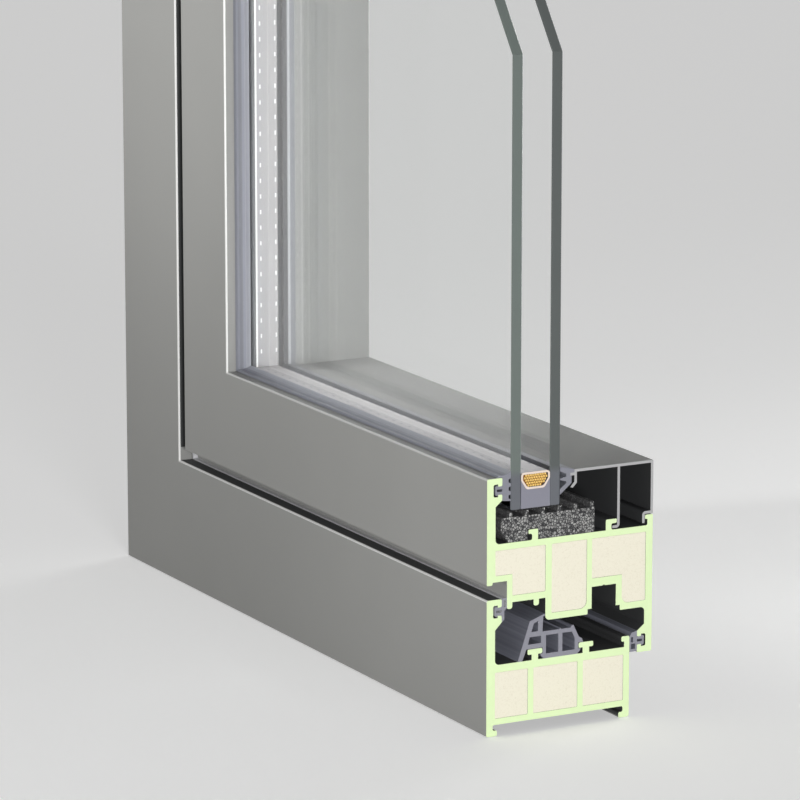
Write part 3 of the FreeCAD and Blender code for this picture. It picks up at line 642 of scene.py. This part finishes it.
@dataclass(frozen=True)
class GranuleFinish(Finish):
    """Bonded foam granules, from dark to light, with dark gaps; the moulded sides show less of them."""

    dark: Colour = srgb(66, 66, 68)
    light: Colour = srgb(172, 172, 170)
    gap: Colour = srgb(46, 46, 48)
    side: Colour = srgb(92, 92, 93)
    side_share: float = 0.36
    grain: float = 1.15
    gap_width: float = 0.11
    torn: float = 0.6 * MM
    roughness: float = 0.85
    relief: float = 0.2
    grain_height: float = 0.3 * MM

    def shader(self, graph: Graph) -> Socket:
        """Give each grain its own grey, which the moulded sides cover in part."""
        place = SECTION.place(graph, sawn_depth=self.torn)
        grains = GRANULES.place(graph, point=place["Point"], grain=self.grain, gap=self.gap_width)
        colour = graph.blend(grains["Tone"], self.dark, self.light)
        colour = graph.blend(grains["Gap"], colour, self.gap)
        colour = graph.blend(graph.lerp(place["Sawn"], self.side_share, 1.0), self.side, colour)
        return graph.principled(
            Base_Color=colour,
            Roughness=self.roughness,
            Normal=graph.bump(grains["Height"], self.relief, self.grain_height),
        )


@dataclass(frozen=True)
class GlassFinish(Finish):
    """Clear faces of float glass; light falls through them to what lies behind."""

    tint: Colour = (0.992, 0.998, 0.995)
    shade: Colour = (0.97, 0.98, 0.975)
    wave: Grain = Grain(broad=40.0, fine=12.0, fine_share=0.5, contrast=0.01)
    refraction: float = 1.5

    def shader(self, graph: Graph) -> Socket:
        """Wire clear glass with a trace of waviness, and an open way for light that casts shadows."""
        wave = self.wave.over(graph, SECTION.place(graph))
        glass = graph.principled(
            Base_Color=graph.toned(self.tint, wave["Tone"]),
            Roughness=0.0,
            Transmission_Weight=1.0,
            IOR=self.refraction,
        )
        open_to_light = graph.add("BsdfTransparent", {0: self.shade}).outputs[0]
        in_shadow = graph.add("LightPath").outputs["Is Shadow Ray"]
        return graph.add("MixShader", {0: in_shadow, 1: glass, 2: open_to_light}).outputs[0]


@dataclass(frozen=True, kw_only=True)
class GrainedFinish(Finish):
    """A finish of one roughness, with a fine grain over the colours that each kind mixes."""

    roughness: float = 0.5
    grain: Grain = Grain()
    grain_height: float = 0.05 * MM
    cut_depth: float = 0.05 * MM

    def colour(self, graph: Graph, place: Sockets) -> Socket:
        """Mix the finish's colours.

        Args:
            graph: the material's tree.
            place: the outputs of its section place.

        Returns:
            The colour below the grain.
        """
        raise NotImplementedError

    def shader(self, graph: Graph) -> Socket:
        """Lay the grain over the colours."""
        place = SECTION.place(graph, sawn_depth=self.cut_depth)
        grain = self.grain.over(graph, place)
        return graph.principled(
            Base_Color=graph.toned(self.colour(graph, place), grain["Tone"]),
            Roughness=self.roughness,
            Normal=graph.bump(grain["Height"], distance=self.grain_height),
        )


@dataclass(frozen=True, kw_only=True)
class PlainCastFinish(GrainedFinish):
    """Moulded plastic, sealant or clay beads: one colour, and another where it is cut.

    On the clay beads the second colour lies on their fronts, and the first, behind them, is painted shade.
    """

    skin: Colour
    cut: Colour

    def colour(self, graph: Graph, place: Sockets) -> Socket:
        """Mix skin and cut."""
        return graph.blend(place["Sawn"], self.skin, self.cut)


@dataclass(frozen=True, kw_only=True)
class PaneRimFinish(GrainedFinish):
    """Ground rim of a pane: green where it stands free, greyer below `held_top`, in millimetres."""

    held_top: float
    free: Colour = srgb(105, 114, 110)
    held: Colour = srgb(100, 103, 109)
    held_turn: float = 3.0
    roughness: float = 0.45
    grain: Grain = Grain(contrast=0.2)

    def colour(self, graph: Graph, place: Sockets) -> Socket:
        """Change the colour at the height where the pane comes free of spacer and gaskets."""
        is_free = graph.above(place["Height"], self.held_top, self.held_turn)
        return graph.blend(is_free, self.held, self.free)


@dataclass(frozen=True, kw_only=True)
class SpacerFinish(GrainedFinish):
    """Spacer bar of pale plastic, dark where sealed to the panes, with painted shade and a painted
    highlight.

    `front` and `top` are the bar's, in millimetres. The dark colour covers all that lies more than
    `seam_drop` below its top, where the bar is sealed, and the first `seam_width` of its depth: there it is
    painted shade. Behind that lies a light band, a painted highlight.
    """

    front: float
    top: float
    skin: Colour = srgb(171, 169, 171)
    # light band behind the front: a painted highlight
    shoulder: Colour = srgb(250, 250, 249)
    # dark colour: the seal on the sides, painted shade on the front band
    seam: Colour = srgb(108, 109, 111)
    cut: Colour = srgb(238, 222, 210)
    seam_width: float = 0.0
    shoulder_width: float = 0.0
    seam_drop: float = 0.5
    roughness: float = 0.4

    def colour(self, graph: Graph, place: Sockets) -> Socket:
        """Place the painted highlight and the dark colour by the distances to the bar's front and top."""
        from_front = graph.math("SUBTRACT", place["Depth"], self.front)
        on_shoulder = graph.math("LESS_THAN", from_front, self.seam_width + self.shoulder_width)
        at_pane = graph.math("LESS_THAN", from_front, self.seam_width)
        below_top = graph.math("LESS_THAN", place["Height"], self.top - self.seam_drop)
        # The light band is a painted highlight; the dark front band is painted shade, the dark sides are the
        # seal.
        colour = graph.blend(on_shoulder, self.skin, self.shoulder)
        colour = graph.blend(graph.math("MAXIMUM", at_pane, below_top), colour, self.seam)
        return graph.blend(place["Sawn"], colour, self.cut)


def seen_directly(graph: Graph) -> Socket:
    """A mask of the rays that show a thing to the eye, in a gloss or through glass.

    Args:
        graph: the tree of a material or of the world.

    Returns:
        The mask, 1 for such rays.
    """
    path = graph.add("LightPath").outputs
    shown = graph.math("MAXIMUM", path["Is Glossy Ray"], path["Is Transmission Ray"])
    return graph.math("MAXIMUM", path["Is Camera Ray"], shown)


@dataclass(frozen=True)
class FloorFinish(Finish):
    """Plain pale floor; part of its paleness is only shown, so that it doesn't light the object."""

    colour: Colour = srgb(226, 226, 225)
    shown: float = 0.38
    cloud: Grain = Grain(broad=900.0, fine=200.0, fine_share=0.3, contrast=0.02)
    roughness: float = 0.85

    def shader(self, graph: Graph) -> Socket:
        """One pale, matt tone with a trace of unevenness."""
        cloud = self.cloud.over(graph, SECTION.place(graph))
        return graph.principled(
            Base_Color=graph.toned(self.colour, cloud["Tone"]),
            Roughness=self.roughness,
            Emission_Color=WHITE,
            Emission_Strength=graph.math("MULTIPLY", seen_directly(graph), self.shown),
        )


def dress(piece: Piece, finish: Finish) -> None:
    """Give a piece one finish in its material slots."""
    piece.data.materials.clear()
    piece.data.materials.append(finish.material())


def merged(node: Piece) -> BMesh:
    """Copy a node's mesh, with its loose triangles joined into plane faces.

    Args:
        node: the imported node.

    Returns:
        The copy, which the caller frees.
    """
    mesh = bmesh.new()
    mesh.from_mesh(node.data)
    bmesh.ops.remove_doubles(mesh, verts=mesh.verts, dist=SAME_POINT)
    bmesh.ops.dissolve_limit(
        mesh, angle_limit=FLAT_ANGLE, verts=mesh.verts, edges=mesh.edges, use_dissolve_boundaries=False
    )
    return mesh


def sawn_faces(mesh: BMesh, run: Run) -> list[bmesh.types.BMFace]:
    """Find the faces that lie in a run's sawn plane.

    Args:
        mesh: the mesh to search.
        run: the run that the mesh belongs to.

    Returns:
        The faces whose corners all lie there.
    """
    end = run.end
    return [
        face for face in mesh.faces
        if all(abs(vert.co[run.along] - end) < IN_PLANE for vert in face.verts)
    ]


def cut_across(mesh: BMesh, axis: int, places: list[float]) -> None:
    """Cut a whole mesh along planes square to an axis.

    Args:
        mesh: the mesh to cut.
        axis: index of the axis that the planes are square to.
        places: where the planes lie on that axis.
    """
    normal = Vector((0, 0, 0))
    normal[axis] = 1.0
    for place in places:
        whole = [*mesh.verts, *mesh.edges, *mesh.faces]
        bmesh.ops.bisect_plane(mesh, geom=whole, dist=CUT_SLACK, plane_co=normal * place, plane_no=normal)


def rounded(mesh: BMesh, edges: list[bmesh.types.BMEdge], offset: float, segments: int) -> None:
    """Bevel some edges of a mesh.

    Args:
        mesh: the mesh.
        edges: the edges to bevel.
        offset: how far the bevel reaches from each edge.
        segments: number of faces across the bevel.
    """
    bmesh.ops.bevel(
        mesh, geom=edges, offset=offset, offset_type="OFFSET", affect="EDGES", segments=segments,
        profile=0.5, material=-1, clamp_overlap=True,
    )


def spaced(low: float, high: float, pitch: float) -> list[float]:
    """Places between two ends, evenly spaced at about a pitch, without the ends."""
    count = max(1, round((high - low) / pitch))
    return [low + (high - low) * step / count for step in range(1, count)]


def finished(mesh: BMesh, name: str, finish: Finish, smooth: bool = False) -> Piece:
    """Turn a bmesh into a dressed piece that rides on the corner.

    Args:
        mesh: the piece's mesh, which is freed.
        name: the piece's name.
        finish: its finish.
        smooth: whether faces are shaded smooth.

    Returns:
        The new object.
    """
    for face in mesh.faces:
        face.smooth = smooth
    data = bpy.data.meshes.new(name)
    mesh.to_mesh(data)
    mesh.free()
    piece = bpy.data.objects.new(name, data)
    bpy.context.scene.collection.objects.link(piece)
    dress(piece, finish)
    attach(piece, BODY)
    log.info("%s: %d faces", name, len(data.polygons))
    return piece


def dress_node(part: str, run: Run, finish: Finish) -> None:
    """Give a part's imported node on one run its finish."""
    dress(run.node(part), finish)
    log.info("%s_%s: %s", part, run.label, finish.title)


def dress_nodes(part: str, finish: Finish) -> None:
    """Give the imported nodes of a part, one on each run, the same finish."""
    for run in Run:
        dress_node(part, run, finish)


def section_box(part: str) -> dict[str, float]:
    """Back, low and top of a part's section along the sill, in millimetres from the outer corner."""
    low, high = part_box(f"{part}_sill")
    return {"back": (high.y - OUTER_CORNER.y) * IN_MM, "low": low.z * IN_MM, "top": high.z * IN_MM}


@dataclass(frozen=True)
class Profiles:
    """Outer frame, sash and glazing bead, with their coated, inner and sawn faces."""

    face_gap: float = 6.4
    nose_depth: float = 10.4
    nose_top: float = 75.0
    # darker lip top of the sash along the sill: painted shade
    sill_lip_shade: Colour = srgb(128, 128, 126)
    # dimmer painted highlight on the sash's rounded edge along the sill
    sill_lip_edge: Colour = srgb(208, 208, 206)
    bead_wall: float = 0.4
    bead_coat: Colour = srgb(148, 148, 146)
    bead_cut: Colour = srgb(179, 179, 180)
    bead_cut_roughness: float = 0.4
    bead_gloss: float = 0.02

    def build(self) -> None:
        """Dress the three profiles; along the sill the sash's lip top and edge get darker tones: painted
        shade.
        """
        frame_box = section_box("frame_profile")
        sash_box = section_box("sash_profile")
        # The frame's lip top keeps its coat on the jamb only as far as the sash's face reaches past the
        # corner, and nowhere on the sill; elsewhere it gets the dark colour, a painted shadow of the sash.
        unshadowed_reach = {Run.SILL: 0.0, Run.JAMB: frame_box["top"] + self.face_gap}
        # Along the sill the sash's lip top and edge get darker colours: painted shade.
        painted_lip_tones = {Run.SILL: {"shaded_top_coat": self.sill_lip_shade, "edge_highlight": self.sill_lip_edge}, Run.JAMB: {}}
        for run in Run:
            dress_node("frame_profile", run, ProfileFinish(
                f"frame_coat_{run.label}", top_reach=unshadowed_reach[run], **frame_box,
            ))
            dress_node("sash_profile", run, ProfileFinish(
                f"sash_coat_{run.label}", nose=self.nose_depth, nose_top=self.nose_top,
                **sash_box, **painted_lip_tones[run],
            ))
        dress_nodes("glazing_bead", ProfileFinish(
            "bead_coat", rounding=self.bead_wall, coat=self.bead_coat, shaded_top_coat=self.bead_coat,
            sawn=self.bead_cut, sawn_roughness=self.bead_cut_roughness, gloss=self.bead_gloss, **sash_box,
        ))


@dataclass(frozen=True)
class FoamCores:
    """The foam bars in the chambers, each with a fine gap at the rim of its sawn end."""

    rim: float = 0.28 * MM
    rim_segments: int = 2

    def build(self) -> None:
        """Make one core for each chamber of frame and sash on each run."""
        finish = FoamFinish("cell_foam")
        for owner in ("frame", "sash"):
            for chamber in ("outer", "middle", "inner"):
                for run in Run:
                    self.core(owner, chamber, run, finish)

    def core(self, owner: str, chamber: str, run: Run, finish: Finish) -> None:
        """Make one core from its node and put it in the node's place.

        Args:
            owner: the profile that holds it.
            chamber: the chamber that it fills.
            run: the run that it lies on.
            finish: its finish.
        """
        node = run.node(f"{owner}_foam_{chamber}")
        mesh = merged(node)
        rim = {edge for face in sawn_faces(mesh, run) for edge in face.edges}
        rounded(mesh, list(rim), self.rim, self.rim_segments)
        piece = finished(mesh, f"{owner}_core_{chamber}_{run.label}", finish)
        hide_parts(node.name)


@dataclass(frozen=True)
class GranuleStrip:
    """The toothed strip of bonded granules in the glazing rebate."""

    pitch: float = 0.8 * MM
    far_pitch: float = 6.0 * MM
    fine_reach: float = 9.0 * MM
    grain: float = 1.1 * MM
    relief: float = 0.32 * MM
    gap_sharpness: float = 2.2
    gap_share: float = 0.65
    wave_grains: float = 2.3
    wave_share: float = 0.5

    def build(self) -> None:
        """Make the strip on each run."""
        finish = GranuleFinish("bonded_granules")
        for run in Run:
            node = run.node("rebate_strip")
            mesh = merged(node)
            self.divide(mesh, run)
            self.crumble(mesh)
            piece = finished(mesh, f"granule_strip_{run.label}", finish)
            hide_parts(node.name)

    def divide(self, mesh: BMesh, run: Run) -> None:
        """Cut the strip into small faces, finest near its sawn end.

        Args:
            mesh: the strip.
            run: the run that it lies on.
        """
        for axis in (1, run.up):
            ends = [vert.co[axis] for face in sawn_faces(mesh, run) for vert in face.verts]
            cut_across(mesh, axis, spaced(min(ends), max(ends), self.pitch))
        start = min(vert.co[run.along] for vert in mesh.verts)
        cut_across(mesh, run.along, spaced(run.end - self.fine_reach, run.end, self.pitch))
        cut_across(mesh, run.along, spaced(start, run.end - self.fine_reach, self.far_pitch))

    def crumble(self, mesh: BMesh) -> None:
        """Sink each point by its place in a grain, so that grains stand out and edges look torn.

        Args:
            mesh: the divided strip.
        """
        mesh.normal_update()
        sunk = {}
        for vert in mesh.verts:
            distances = noise.voronoi(vert.co / self.grain)[0]
            gap = max(0.0, 1.0 - (distances[1] - distances[0]) * self.gap_sharpness)
            wave = 0.5 + 0.5 * noise.noise(vert.co / (self.grain * self.wave_grains))
            sink = self.gap_share * gap + self.wave_share * wave
            sunk[vert] = vert.co - vert.normal * self.relief * sink
        for vert, place in sunk.items():
            vert.co = place


@dataclass(frozen=True)
class GlassUnit:
    """Insulating glass: panes, spacer with its vents and desiccant, and the sealant below.

    `layer_step`, `bed_back`, `front_back` and `wall_gap` are shares of a desiccant bead's size: the step
    from layer to layer, the plain bed and the first layer's middle behind the sawn end, and a bead's middle
    from the spacer's wall.
    """

    face_on: float = 0.9
    # darker rim colour of the inner pane: painted shade
    inner_rim: Colour = srgb(86, 91, 90)
    # lighter skin of the sill's spacer: painted light
    lit_sill_spacer: Colour = srgb(188, 185, 187)
    jamb_seam: float = 1.7
    jamb_shoulder: float = 0.9
    sealant: Colour = srgb(134, 135, 147)
    sealant_cut: Colour = srgb(135, 135, 147)
    sealant_roughness: float = 0.6
    # darker colour behind the beads' fronts and of the bed: painted shade
    clay: Colour = srgb(176, 118, 48)
    clay_front: Colour = srgb(246, 207, 122)
    clay_roughness: float = 0.8
    clay_grain: float = 0.1 * MM
    clay_front_depth: float = 0.5 * MM
    bead: float = 1.16 * MM
    bead_rows: int = 5
    layers: int = 2
    layer_step: float = 0.8
    bed_back: float = 0.5
    front_back: float = 0.52
    wall_gap: float = 0.46
    slack: float = 0.03 * MM
    seed: int = 7
    vent_pitch: float = 7.3 * MM
    vent_length: float = 2.0 * MM
    vent_width: float = 0.75 * MM
    vent_rise: float = 0.08 * MM
    vent_edge: float = 0.06 * MM
    vent_rows: tuple[float, float] = (4.4 * MM, 12.2 * MM)
    # vent rim colours, grey on the sill and near white on the jamb: painted shade and painted light
    shaded_sill_vent: Colour = srgb(166, 166, 171)
    lit_jamb_vent: Colour = srgb(246, 245, 245)

    def build(self) -> None:
        """Dress the glass unit's nodes and make its small pieces."""
        low, high = (corner * IN_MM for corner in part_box("edge_spacer_sill"))
        front = low.y - OUTER_CORNER.y * IN_MM
        glass = GlassFinish("float_glass")
        self.pane("outer", glass, PaneRimFinish("outer_rim", held_top=high.z))
        # The inner pane's free rim gets a darker colour than the outer's: painted shade.
        self.pane("inner", glass, PaneRimFinish("inner_rim", held_top=high.z, free=self.inner_rim))
        # The sill's spacer gets a lighter skin than the jamb's: painted light.
        dress_node("edge_spacer", Run.SILL, SpacerFinish(
            "spacer_sill", front=front, top=high.z, skin=self.lit_sill_spacer,
        ))
        # Only the jamb's spacer gets the dark front band, painted shade, and the light band behind it, a
        # painted highlight.
        dress_node("edge_spacer", Run.JAMB, SpacerFinish(
            "spacer_jamb", front=front, top=high.z, seam_width=self.jamb_seam,
            shoulder_width=self.jamb_shoulder,
        ))
        dress_nodes("edge_sealant", PlainCastFinish(
            "edge_seal", skin=self.sealant, cut=self.sealant_cut, roughness=self.sealant_roughness,
        ))
        # The beads keep the bright clay colour only within a set depth of the sawn end; all deeper gets the
        # darker colour, painted shade between and behind the beads.
        clay = PlainCastFinish(
            "desiccant_clay", skin=self.clay, cut=self.clay_front, roughness=self.clay_roughness,
            grain_height=self.clay_grain, cut_depth=self.clay_front_depth,
        )
        # The vent rims get a grey copy on the sill and a near white one on the jamb: painted shade and
        # painted light.
        for run, tone in zip(Run, (self.shaded_sill_vent, self.lit_jamb_vent)):
            self.desiccant(run, clay)
            self.vents(run, PlainCastFinish(f"vent_rims_{run.label}", skin=tone, cut=tone))

    def pane(self, side: str, glass: Finish, rim: Finish) -> None:
        """Make a pane with clear faces and ground edges, in its node's place.

        Args:
            side: the start of its node's name.
            glass: finish of the faces.
            rim: finish of the edges.
        """
        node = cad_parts[f"{side}_pane"]
        piece = finished(merged(node), f"{side}_sheet", glass)
        piece.data.materials.append(rim.material())
        for face in piece.data.polygons:
            face.material_index = int(abs(face.normal.y) < self.face_on)
        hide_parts(node.name)

    def desiccant(self, run: Run, finish: Finish) -> None:
        """Fill the spacer: beads in their rows at the sawn end, and a plain bed behind them.

        Args:
            run: the run to fill.
            finish: finish of bed and beads.
        """
        node = run.node("desiccant_fill")
        mesh = merged(node)
        outline = [Vector((vert.co[1], vert.co[run.up])) for vert in sawn_faces(mesh, run)[0].verts]
        step = self.bead * self.layer_step
        for vert in {vert for face in sawn_faces(mesh, run) for vert in face.verts}:
            vert.co[run.along] -= self.bead * self.bed_back + step * (self.layers - 1)
        dice = random.Random(self.seed)
        for layer in range(self.layers):
            along = run.end - self.bead * self.front_back - step * layer
            for depth, height in self.rows(outline, layer):
                shift = [dice.uniform(-self.slack, self.slack) for _ in range(2)]
                place = run.point(along - abs(shift[0]), depth + shift[0], height + shift[1])
                bmesh.ops.create_uvsphere(
                    mesh, u_segments=8, v_segments=5, radius=self.bead / 2, matrix=Matrix.Translation(place)
                )
        piece = finished(mesh, f"desiccant_beads_{run.label}", finish, smooth=True)
        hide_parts(node.name)

    def rows(self, outline: list[Vector], layer: int) -> list[tuple[float, float]]:
        """Places of one layer of beads, packed in rows inside the spacer.

        Args:
            outline: corners of the space, as depth and height.
            layer: number of the layer, which shifts its rows.

        Returns:
            Depth and height of each bead's middle.
        """
        lows = [min(corner[axis] for corner in outline) for axis in (0, 1)]
        highs = [max(corner[axis] for corner in outline) for axis in (0, 1)]
        pitch = (highs[1] - lows[1] - self.bead) / (self.bead_rows - 1)
        middle = sum(outline, Vector((0, 0))) / len(outline)
        found = []
        for row in range(self.bead_rows - layer):
            height = highs[1] - self.bead / 2 - pitch * (row + layer / 2)
            depth = lows[0] + self.bead * (0.5 + 0.5 * ((row + layer) % 2))
            while depth < highs[0]:
                if self.clear(outline, middle, Vector((depth, height))):
                    found.append((depth, height))
                depth += self.bead
        return found

    def clear(self, outline: list[Vector], middle: Vector, place: Vector) -> bool:
        """Whether a bead at a place stays inside the outline.

        Args:
            outline: corners of the space, as depth and height.
            middle: a point inside it.
            place: the bead's middle.

        Returns:
            True if the bead clears every wall.
        """
        for start, end in zip(outline, outline[1:] + outline[:1]):
            side = end - start
            if side.length < NO_LENGTH:
                continue
            square = Vector((-side.y, side.x)).normalized()
            if square.dot(middle - start) < 0:
                square.negate()
            if square.dot(place - start) < self.bead * self.wall_gap:
                return False
        return True

    def vents(self, run: Run, finish: Finish) -> None:
        """Set two rows of small vent rims on the spacer's top.

        Args:
            run: the run to set them on.
            finish: their finish.
        """
        low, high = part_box(f"edge_spacer_{run.label}")
        top = high[run.up]
        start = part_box(f"edge_spacer_{run.other.label}")[1][run.along]
        size = run.point(self.vent_length, self.vent_width, self.vent_rise * 2)
        mesh = bmesh.new()
        for row in self.vent_rows:
            for along in spaced(start, run.end, self.vent_pitch):
                place = Matrix.Translation(run.point(along, low.y + row, top))
                bmesh.ops.create_cube(mesh, size=1.0, matrix=place @ Matrix.Diagonal((*size, 1.0)))
        rounded(mesh, mesh.edges[:], self.vent_edge, segments=1)
        finished(mesh, f"spacer_vents_{run.label}", finish, smooth=True)


@dataclass(frozen=True)
class Gaskets:
    """The rubber seals of frame, sash and glass."""

    glazing_skin: Colour = srgb(130, 132, 141)
    glazing_cut: Colour = srgb(134, 135, 145)
    weather_skin: Colour = srgb(136, 138, 150)
    weather_cut: Colour = srgb(142, 142, 152)
    frame_skin: Colour = srgb(214, 214, 217)
    frame_streaks: float = 0.2
    outer_lip_width: float = 1.6
    # dark lip of the inner glazing gasket: painted shade
    inner_lip: Colour = srgb(84, 85, 88)
    inner_lip_width: float = 2.6
    inner_ridge_width: float = 1.4

    def build(self) -> None:
        """Dress every gasket; the jamb's inner glazing gasket gets painted shade and a painted highlight at
        the pane.
        """
        # The outer glazing gasket gets the light default lip colour near its pane: a painted highlight.
        dress_nodes("outer_glazing_gasket", RubberFinish(
            "outer_glazing_rubber", skin=self.glazing_skin, cut=self.glazing_cut,
            pane=self.depth("outer_pane", 0), lip_width=self.outer_lip_width, lip_turn=self.outer_lip_width,
        ))
        # On the jamb the inner glazing gasket's lip is dark, painted shade, with a light band beyond, a
        # painted highlight.
        lip = {
            "lip": self.inner_lip,
            "lip_width": self.inner_lip_width,
            "ridge_width": self.inner_ridge_width,
        }
        for run, shown in ((Run.SILL, {}), (Run.JAMB, lip)):
            dress_node("inner_glazing_gasket", run, RubberFinish(
                f"inner_glazing_rubber_{run.label}", skin=self.glazing_skin, cut=self.glazing_cut,
                pane=self.depth("inner_pane", 1), **shown,
            ))
        weather = RubberFinish("weather_rubber", skin=self.weather_skin, cut=self.weather_cut)
        for part in ("centre_gasket", "sash_gasket"):
            dress_nodes(part, weather)
        dress_nodes("frame_gasket", RubberFinish(
            "frame_rubber", skin=self.frame_skin, cut=self.weather_cut, streaks=self.frame_streaks,
        ))

    @staticmethod
    def depth(node: str, side: int) -> float:
        """Depth in millimetres of a node's outer (0) or inner (1) face."""
        return (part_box(node)[side][1] - OUTER_CORNER.y) * IN_MM


@dataclass(frozen=True)
class Lamp:
    """A soft spotlight that looks at a point; `radius` is its bulb's and `cone` is in degrees."""

    title: str
    place: tuple[float, float, float]
    aim: tuple[float, float, float]
    radius: float
    watts: float
    cone: float

    def build(self) -> None:
        """Hang the lamp and turn it to its aim."""
        lamp = bpy.data.lights.new(self.title, "SPOT")
        lamp.energy = self.watts
        lamp.spot_size = math.radians(self.cone)
        lamp.spot_blend = 1.0
        lamp.shadow_soft_size = self.radius
        holder = bpy.data.objects.new(self.title, lamp)
        holder.location = self.place
        look = Vector(self.aim) - Vector(self.place)
        holder.rotation_euler = look.to_track_quat("-Z", "Y").to_euler()
        bpy.context.scene.collection.objects.link(holder)


@dataclass(frozen=True)
class Studio:
    """Pale floor, soft lamps, even surroundings and the camera of the photograph."""

    floor_side: float = 30.0
    floor_drop: float = 0.2 * MM
    floor_cells: int = 8
    ambient: float = 0.25
    backdrop: float = 0.62
    camera_place: tuple[float, float, float] = (1.8898, -0.99065, 0.5678)
    azimuth: float = math.radians(62.0)
    elevation: float = math.radians(12.15)
    sensor: float = 36.0
    focal_pixels: float = 4767.3
    picture_pixels: float = 800.0
    nearest: float = 0.05
    farthest: float = 60.0
    lamps: tuple[Lamp, ...] = (
        Lamp("key", (2.1, -0.63, 0.27), (0.0, 0.0, 0.15), 0.28, 131.0, 36.0),
        Lamp("upper", (-0.4, -1.3, 0.8), (-0.14, -0.04, 0.4), 0.1, 50.0, 28.0),
        Lamp("sill", (-0.15, -1.3, 0.16), (0.16, -0.04, 0.105), 0.1, 13.5, 15.0),
        Lamp("ledge", (-0.3, 0.35, 1.1), (-0.085, 0.03, 0.11), 0.1, 8.0, 12.5),
        Lamp("back", (-0.8, 2.4, 0.35), (0.0, 0.0, 0.18), 0.35, 120.0, 30.0),
    )

    def build(self) -> None:
        """Set up the whole studio."""
        bpy.context.scene.view_settings.view_transform = "Standard"
        self.floor()
        self.surroundings()
        for lamp in self.lamps:
            lamp.build()
        self.camera()

    def floor(self) -> None:
        """Lay the floor just under the corner's feet."""
        mesh = bmesh.new()
        bmesh.ops.create_grid(
            mesh, x_segments=self.floor_cells, y_segments=self.floor_cells, size=self.floor_side / 2,
            matrix=Matrix.Translation((0, 0, -self.floor_drop)),
        )
        data = bpy.data.meshes.new("floor")
        mesh.to_mesh(data)
        mesh.free()
        floor = bpy.data.objects.new("floor", data)
        bpy.context.scene.collection.objects.link(floor)
        dress(floor, FloorFinish("pale_floor"))

    def surroundings(self) -> None:
        """Light evenly from all round, and show a pale backdrop to the eye, in metal and through glass."""
        world = bpy.data.worlds.new("surroundings")
        bpy.context.scene.world = world
        world.use_nodes = True
        world.node_tree.nodes.clear()
        graph = Graph(world.node_tree)
        lighting = graph.add("Background", {0: WHITE, 1: self.ambient}).outputs[0]
        backdrop = graph.add("Background", {0: WHITE, 1: self.backdrop}).outputs[0]
        mixed = graph.add("MixShader", {0: seen_directly(graph), 1: lighting, 2: backdrop}).outputs[0]
        graph.add("OutputWorld", {0: mixed})

    def camera(self) -> None:
        """Place the camera where the photograph was taken from."""
        lens = bpy.data.cameras.new("photograph")
        lens.sensor_width = self.sensor
        lens.lens = self.focal_pixels / self.picture_pixels * self.sensor
        lens.clip_start = self.nearest
        lens.clip_end = self.farthest
        camera = bpy.data.objects.new("photograph", lens)
        camera.location = self.camera_place
        forward = Vector((
            -math.sin(self.azimuth) * math.cos(self.elevation),
            math.cos(self.azimuth) * math.cos(self.elevation),
            -math.sin(self.elevation),
        ))
        camera.rotation_euler = forward.to_track_quat("-Z", "Y").to_euler()
        bpy.context.scene.collection.objects.link(camera)
        bpy.context.scene.camera = camera


def main() -> None:
    """Build the sub-assemblies in order."""
    logging.basicConfig(level=logging.INFO, format="%(relativeCreated)6d ms %(name)s: %(message)s")
    for assembly in (Profiles(), FoamCores(), Gaskets(), GranuleStrip(), GlassUnit(), Studio()):
        log.info("building %s", type(assembly).__name__)
        assembly.build()


if __name__ == "__main__":
    main()
